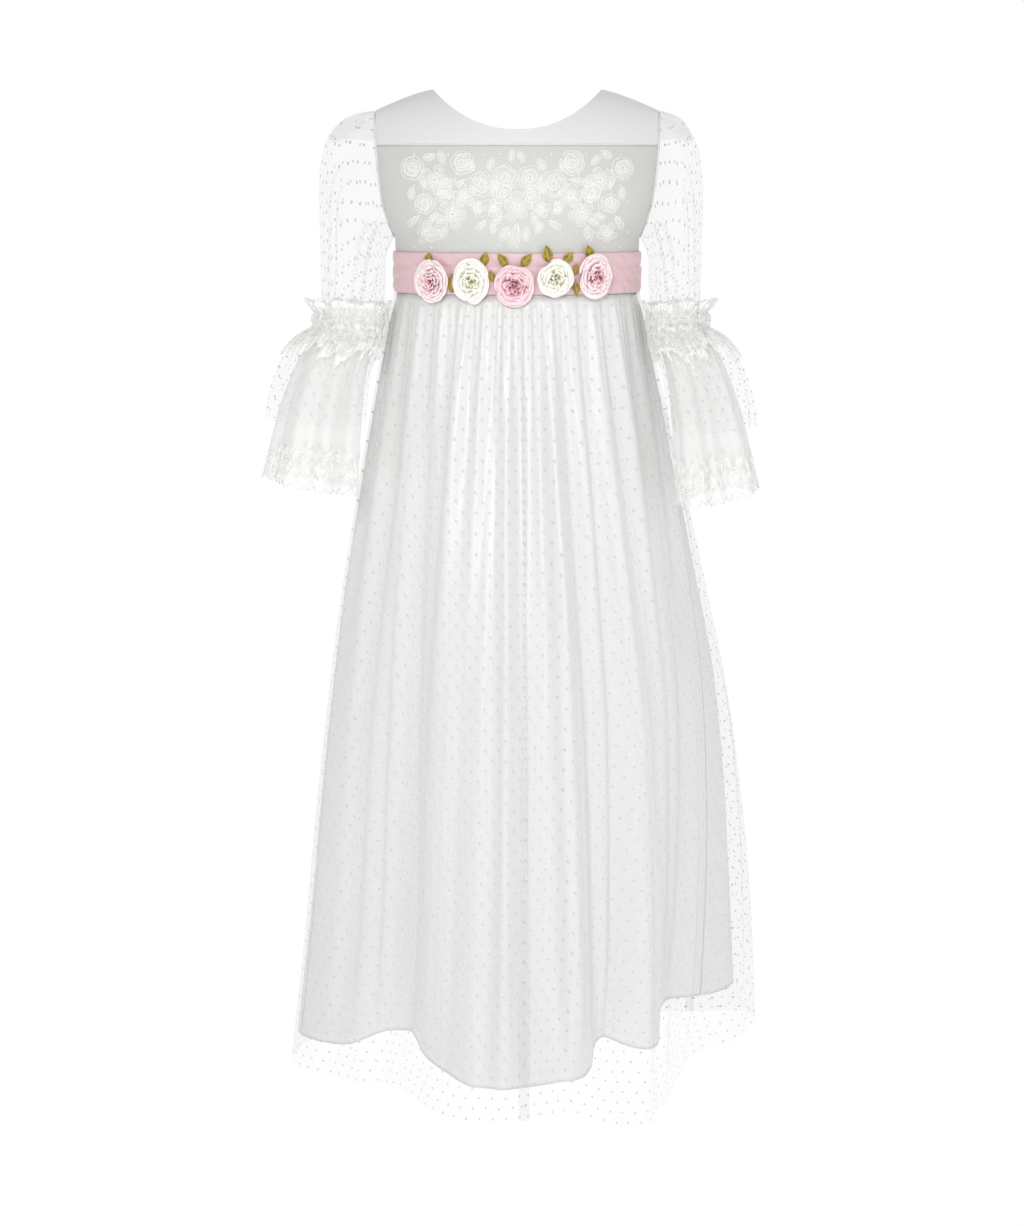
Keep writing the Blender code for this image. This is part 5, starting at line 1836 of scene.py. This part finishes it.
@dataclass
class Sleeve:
    """A puffed net sleeve to the elbow, with a standing frill, a lace flounce and a shorter net one."""

    wardrobe: Wardrobe
    side: Side
    form: TorsoForm = field(default_factory=TorsoForm)
    tuck: float = 0.012
    drop: float = 0.010
    forward: float = 0.020
    elbow_z: float = -0.2245
    flounce_length: float = 0.1540
    scallops: int = 26
    scallop_depth: float = 0.030  # of the flounce's length
    head_low: float = -0.046

    def ring(self, table: tuple[Ring, ...], u: Array, v: Array, wave: Array | float = 0.0) -> Array:
        """A point on a table's rings: u goes round from the outer point, v from the first ring to the last.

        wave moves it away from the ring's middle. The left sleeve is tucked in, and its flounces hang
        lower and further forward.
        """

        def value(name: str) -> Array:
            """A column of the table at v."""
            return ring_value(table, name, v)

        left = self.side is Side.LEFT
        turn = TAU * u
        settle = np.clip(v * 3, 0, 1) if table is SLEEVE else 1.0
        outer, inner = value("outer_x") - self.tuck * left * settle, value("inner_x")
        top, bottom = value("outer_z"), value("inner_z")
        middle_z = (top + bottom) / 2
        hanging = np.clip((self.elbow_z - middle_z) / self.flounce_length, 0, 1) * left
        half_x, half_z = (outer - inner) / 2, (top - bottom) / 2
        swell = 1 + wave / np.sqrt(half_x**2 + half_z**2)
        x = (outer + inner) / 2 + half_x * np.cos(turn) * swell
        z = middle_z + half_z * np.cos(turn) * swell - self.drop * hanging
        y = value("y") - value("half_depth") * np.sin(turn) * swell - self.forward * hanging
        return stacked(self.side.value * x, y, z)

    @staticmethod
    def even(table: tuple[Ring, ...], share: Array) -> Array:
        """The rings' own v at an even share of the length of their middle line."""
        middle = [(column(table, f"outer_{axis}") + column(table, f"inner_{axis}")) / 2 for axis in "xz"]
        steps = np.linalg.norm(np.diff(np.stack([*middle, column(table, "y")], -1), axis=0), axis=1)
        far = np.concatenate([[0.0], np.cumsum(steps)])
        return np.interp(share, far / far[-1], np.linspace(0, 1, len(table)))

    def upper(self, u: Array, v: Array, inside: float = 0.0) -> Array:
        """The upper sleeve: sewn to the armhole's edge, then free on its rings.

        Nine soft gathers of the head are 2.2 sin(pi f) mm high, where f is the share of its first half;
        finer ones at the head and the elbow, and slanting folds, sin(3 t + 9 v) sin(2 t - 5 v), are added.
        It also lies in a few long flat folds.
        """
        free = self.even(SLEEVE, v)
        flat = 1 - fade(free, 0.90, 1.0)
        laid = [
            (start + (end - start) * free, reach * fade(free, begin, begin + 0.25) * flat)
            for start, end, reach, begin in SLEEVE_FOLDS
        ]
        turn, lift = folded(u * with_folds(TAU, laid), laid, 0.3)
        soft = 2.2 * np.sin(np.pi * np.clip(free / 0.5, 0, 1)) * np.cos(9 * turn)
        head = 0.9 * fine_gathers(31, 3, turn) * fade(free, 0.0, 0.05) * (1 - fade(free, 0.1, 0.34))
        cuff = 0.7 * fine_gathers(30, 4, turn) * fade(free, 0.78, 0.97)
        slant = 1.8 * np.sin(3 * turn + 9 * free) * np.sin(2 * turn - 5 * free) * np.sin(np.pi * free)
        around = turn / TAU
        wave = soft + head + cuff + slant + 2.4 * lift - 0.5 - inside
        points = self.ring(SLEEVE, around, free, wave * MM)
        edge = self.form.armhole(around, self.side, 1.0 * MM)
        join = np.clip(1 - free * (len(SLEEVE) - 1), 0, 1)[..., None]
        return points + (edge - points) * join

    def head_stay(self, u: Array, v: Array) -> Array:
        """The second layer in the sleeve's head: the part of it above one height, 1.2 mm further in."""
        share = v * 0.243
        ring_share = self.even(SLEEVE, share)
        top, bottom = (ring_value(SLEEVE, name, ring_share) for name in ("outer_z", "inner_z"))
        reach = np.arccos(np.clip((self.head_low - (top + bottom) / 2) * 2 / (top - bottom), -1, 1))
        return self.upper((u * 2 - 1) * reach / TAU, share, inside=1.2)

    def frill(self, u: Array, v: Array) -> Array:
        """The standing part of the frill: uneven ripples that grow to 3 mm, and a ragged edge."""
        turn = TAU * u
        ripple = 2.2 * ragged(turn, 3, 20, 70) + 1.4 * ragged(turn, 4, 6, 18)
        height = v * (0.94 + 0.14 * ragged(turn, 5, 4, 16) + 0.06 * ragged(turn, 6, 20, 60))
        return self.ring(FRILL, u, np.clip(height, 0, 1.05), ripple * v * MM)

    def middle_frill(self, u: Array, v: Array) -> Array:
        """The frill's thick middle: a band 26 mm high round the elbow that bulges by 6 sin(pi v) mm."""
        turn = TAU * u
        ripple = 1.8 * ragged(turn + 2.0 * v, 7, 14, 50) * np.sin(np.pi * v) + 0.8 * ragged(turn, 8, 30, 80)
        room = 0.3 + 0.35 * (1 + np.cos(turn))
        bulge = 1.5 + (6.0 * np.sin(np.pi * v) + ripple) * room
        points = self.ring(NET_FLOUNCE, u, np.zeros_like(u), bulge * MM)
        return points + stacked(0.0, 0.0, (0.50 - v + 0.08 * ragged(turn, 9, 5, 30)) * 0.026)

    def lower_frill(self, u: Array, v: Array) -> Array:
        """The frill's hanging part, which lies over the top of the net flounce."""
        turn = TAU * u
        ripple = 1.6 * ragged(turn, 10, 18, 60) + 1.0 * ragged(turn, 12, 5, 16)
        down = v * (0.34 + 0.06 * ragged(turn, 13, 4, 16) + 0.04 * ragged(turn, 14, 20, 60))
        ring_share = self.even(NET_FLOUNCE, down)
        wave = (2.6 * fade(v, 0, 0.5) + 0.6 + ripple * v) * MM
        return self.ring(NET_FLOUNCE, u, ring_share, wave + self.flounce_wave(turn, ring_share, 4.0))

    def flounce_wave(self, turn: Array, v: Array, height: float) -> Array:
        """The seven waves of the flounces' solids, which grow to that height in mm."""
        return height * MM * v * np.cos(7 * turn + self.side.value)

    def lace_flounce(self, u: Array, v: Array) -> Array:
        """The long flounce: the solid's waves, 35 gathers that have gone by half its length, and scallops.

        Its hem rises by the scallops' depth between the lobes of |sin(13 t)|^0.8.
        """
        turn = TAU * u
        hem = 1 - self.scallop_depth * (1 - np.abs(np.sin(turn * self.scallops / 2)) ** 0.8)
        s = self.even(LACE_FLOUNCE, v * (1 + (hem - 1) * v**3))
        fine = fine_gathers(35, 4, turn) * fade(s, 0.0, 0.08) * (1 - fade(s, 0.2, 0.6))
        soft = np.sin(11 * turn + 1.0) * fade(s, 0.3, 0.8)
        wave = self.flounce_wave(turn, s, 5.0) + (1.1 * fine + 1.3 * soft - 0.5) * MM
        return self.ring(LACE_FLOUNCE, u, s, wave)

    def net_flounce(self, u: Array, v: Array) -> Array:
        """The short flounce over it, a little uneven along its hem."""
        turn = TAU * u
        v = self.even(NET_FLOUNCE, v)
        fine = fine_gathers(33, 3, turn) * fade(v, 0.0, 0.1) * (1 - fade(v, 0.3, 0.8))
        soft = np.sin(13 * turn + 2.0) * fade(v, 0.3, 1.0)
        wave = self.flounce_wave(turn, v, 4.0) + (1.0 * fine + 1.2 * soft - 0.4) * MM
        return self.ring(NET_FLOUNCE, u, v, wave)

    def border(self) -> None:
        """Build the lace border round the long flounce's hem, with its scalloped edge."""
        length, around, count = 0.170, 0.33, 9
        pitch = around / count

        def place(plane: Array) -> tuple[Array, Array]:
            """Plane points, along the hem and up from it, to the flounce's face."""
            u = plane[..., 0] / around + 0.5
            v = 1 - plane[..., 1] / length
            normal = surface_normals(self.lace_flounce, u, np.clip(v, 0.02, 0.96))
            points = self.lace_flounce(u, np.clip(v, 0, 1))
            middle = self.ring(LACE_FLOUNCE, u, self.even(LACE_FLOUNCE, v), -20 * MM)
            normal = normal * np.sign((normal * (points - middle)).sum(-1, keepdims=True))
            return points, normal

        kit, name = self.wardrobe, f"flounce_lace_{self.side.word}"
        lace = LaceWork(name, place, kit.border_cord, kit.border_cloth, cord_radius=0.42 * MM)
        for k in range(count):
            x = (k + 0.5) * around / count - around / 2
            lace.add(Motif.ROSE if k % 2 else Motif.FLOWER, x, 0.0200, 0.0095, 0.4 * k)
            for aside, up, reach, turn in BORDER_LEAVES:
                lace.add(Motif.LEAF, x + aside, up, reach, math.radians(turn))
            lace.add(Motif.BUD, x + pitch / 2, 0.0215, 0.0120, math.radians(90))
            lace.stem((x, 0.0300), (x + pitch, 0.0300), bow=0.18)
        for k in range(self.scallops):
            x = (k + 0.5) * around / self.scallops - around / 2
            lace.add(Motif.BUD, x, 0.0035, 0.0050, math.radians(90))
        for piece in lace.build():
            worn(piece, "bodice_lace")
        u = np.linspace(0, 1, 312, endpoint=False)
        edge = self.lace_flounce(u, np.ones_like(u))
        up = np.broadcast_to(UP, edge.shape)
        name = f"flounce_edge_{self.side.word}"
        worn(cords(name, edge[None], up[None], 0.6 * MM, kit.lace_cord, closed=True), "bodice_lace")

    def strands(self) -> None:
        """Build the frayed threads of the frill: each leaves its layer and bends by half its length."""
        rng = np.random.default_rng(11 + self.side.value)
        made = []
        layers = ((self.frill, 0.3, 420), (self.middle_frill, 0.0, 260), (self.lower_frill, 0.1, 260))
        for surface, low, count in layers:
            u, v = rng.uniform(0, 1, count), rng.uniform(low, 1.0, count)
            root = surface(u, v)
            along = unit(surface(u, np.minimum(v + 0.02, 1.02)) - surface(u, v - 0.02))
            out = surface_normals(surface, u, v)
            swing = rng.normal(0, 0.6, (count, 3))
            lead = unit(along + 0.35 * out * rng.choice([-1.0, 1.0], (count, 1)) + swing)
            bend = unit(lead + rng.normal(0, 0.7, (count, 3)))
            size = rng.uniform(3.0, 8.0, (count, 1)) * MM
            made.append(np.stack([root, root + lead * size * 0.5, root + (lead + bend) * size * 0.5], 1))
        paths = np.concatenate(made)
        facing = unit(np.cross(paths[:, 2] - paths[:, 0], np.array([0.3, 0.5, 0.8])))
        facing = np.repeat(facing[:, None], 3, axis=1)
        name, thread = f"frill_threads_{self.side.word}", self.wardrobe.fluff
        threads = cords(name, paths, facing, 0.11 * MM, thread, closed=False, sides=3, flatten=1.0)
        worn(threads, "dotted_net")

    def build(self) -> None:
        """Build the sleeve, its frill and flounces, the lace border and the elbow's gathering cord."""
        kit, word = self.wardrobe, self.side.word
        sleeve, lace, flounce = f"sleeve_{word}", f"lace_flounce_{word}", f"net_flounce_{word}"

        def tube(name: str, surface: Surface, size: tuple[int, int], flat: Pair, cloth: Material) -> Sheet:
            """A sheet sewn round the arm, of that many columns and rows."""
            return Sheet(name, surface, *size, flat, cloth, closed=True)

        upper = tube(f"{sleeve}_net", self.upper, (200, 60), (0.30, 0.165), kit.sleeve_net)
        sewn(upper, "dotted_net", "gathered", ["bodice_front"], sleeve)
        frill = tube(f"frill_{word}_standing", self.frill, (318, 8), (0.36, 0.020), kit.frill_net)
        sewn(frill, "dotted_net", "gathered", [sleeve], f"sleeve_frill_{word}")
        long = tube(f"{lace}_net", self.lace_flounce, (312, 50), (0.34, 0.170), kit.lace_ground)
        sewn(long, "bodice_lace", "gathered", [sleeve], lace)
        short = tube(f"{flounce}_net", self.net_flounce, (240, 36), (0.34, 0.105), kit.sleeve_net)
        sewn(short, "dotted_net", "gathered", [lace], flounce)
        stay = Sheet(f"{sleeve}_head", self.head_stay, 50, 20, (0.115, 0.060), kit.head_net, filled=0.50)
        sewn(stay, "dotted_net", "gathered", [f"{sleeve}_net"])
        low = tube(f"frill_{word}_hanging", self.lower_frill, (318, 8), (0.34, 0.036), kit.frill_low)
        sewn(low, "dotted_net", "gathered", [flounce])
        full = tube(f"frill_{word}_middle", self.middle_frill, (318, 10), (0.32, 0.028), kit.frill_core)
        sewn(full, "dotted_net", "gathered", [flounce])
        self.border()
        self.strands()
        u = np.linspace(0, 1, 120, endpoint=False)
        band = self.ring(FRILL, u, np.full_like(u, 0.02), 0.5 * MM)
        facing = unit(band - band.mean(axis=0))
        cord = cords(f"elbow_cord_{word}", band[None], facing[None], 0.7 * MM, kit.thread, closed=True)
        worn(cord, "dotted_net")


@dataclass(frozen=True)
class Studio:
    """A bright light table for a floor, soft daylight all round, large soft lamps, and the camera."""

    floor_z: float = -2.6
    floor_radius: float = 60.0
    daylight: float = 0.56
    backdrop: float = 1.0
    eye: tuple[float, float, float] = (-0.005, -2.8, -0.092)
    target: tuple[float, float, float] = (-0.005, 0.0, -0.514)
    lens: float = 83.15

    def build(self) -> None:
        """Make the floor, the light and the camera."""
        u, v = grid(48, 2)
        turn, reach = TAU * u, self.floor_radius * (v + 1e-3)
        disc = stacked(reach * np.cos(turn), reach * np.sin(turn), np.full_like(u, self.floor_z))
        floor = make_mesh("floor", disc, grid_faces(*u.shape, closed=False), PaperFinish().build())
        mend(floor)
        world = bpy.data.worlds.new("daylight")
        bpy.context.scene.world = world
        world.use_nodes = True
        tree = world.node_tree
        tree.nodes.clear()
        white = (1.0, 1.0, 1.0, 1.0)
        sky, seen = (
            add_node(tree, "Background", {"Color": white, "Strength": strength}).outputs["Background"]
            for strength in (self.daylight, self.backdrop)
        )
        direct = add_node(tree, "LightPath").outputs["Is Camera Ray"]
        both = add_node(tree, "MixShader", {0: direct, 1: sky, 2: seen})
        add_node(tree, "OutputWorld", {"Surface": both.outputs["Shader"]})
        self.lamp("key", (-0.35, -2.8, 0.5), 31.0, 0.7)
        self.lamp("fill", (1.8, -2.2, 0.3), 8.0, 1.2)
        self.lamp("rear", (0.6, 2.7, 0.6), 16.0, 1.6)
        camera = bpy.data.objects.new("camera", bpy.data.cameras.new("camera"))
        camera.data.lens, camera.data.sensor_width = self.lens, 36.0
        camera.location = self.eye
        camera.rotation_euler = (Vector(self.target) - Vector(self.eye)).to_track_quat("-Z", "Y").to_euler()
        bpy.context.scene.collection.objects.link(camera)
        bpy.context.scene.camera = camera
        bpy.context.scene.view_settings.view_transform = "Standard"

    def lamp(self, name: str, place: tuple[float, float, float], watts: float, size: float) -> None:
        """Add a square soft lamp that faces the middle of the dress."""
        data = bpy.data.lights.new(name, "AREA")
        data.energy, data.size = watts, size
        obj = bpy.data.objects.new(name, data)
        obj.location = place
        obj.rotation_euler = (Vector((0, 0, -0.45)) - Vector(place)).to_track_quat("-Z", "Y").to_euler()
        obj.visible_camera = False
        bpy.context.scene.collection.objects.link(obj)


def main() -> None:
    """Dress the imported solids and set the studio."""
    logging.basicConfig(level=logging.INFO, format="%(message)s")
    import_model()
    kit = Wardrobe()
    Bodice(kit).build()
    Sash(kit).build()
    Skirts(kit).build()
    for side in Side:
        Sleeve(kit, side).build()
    Studio().build()


if __name__ == "__main__":
    main()
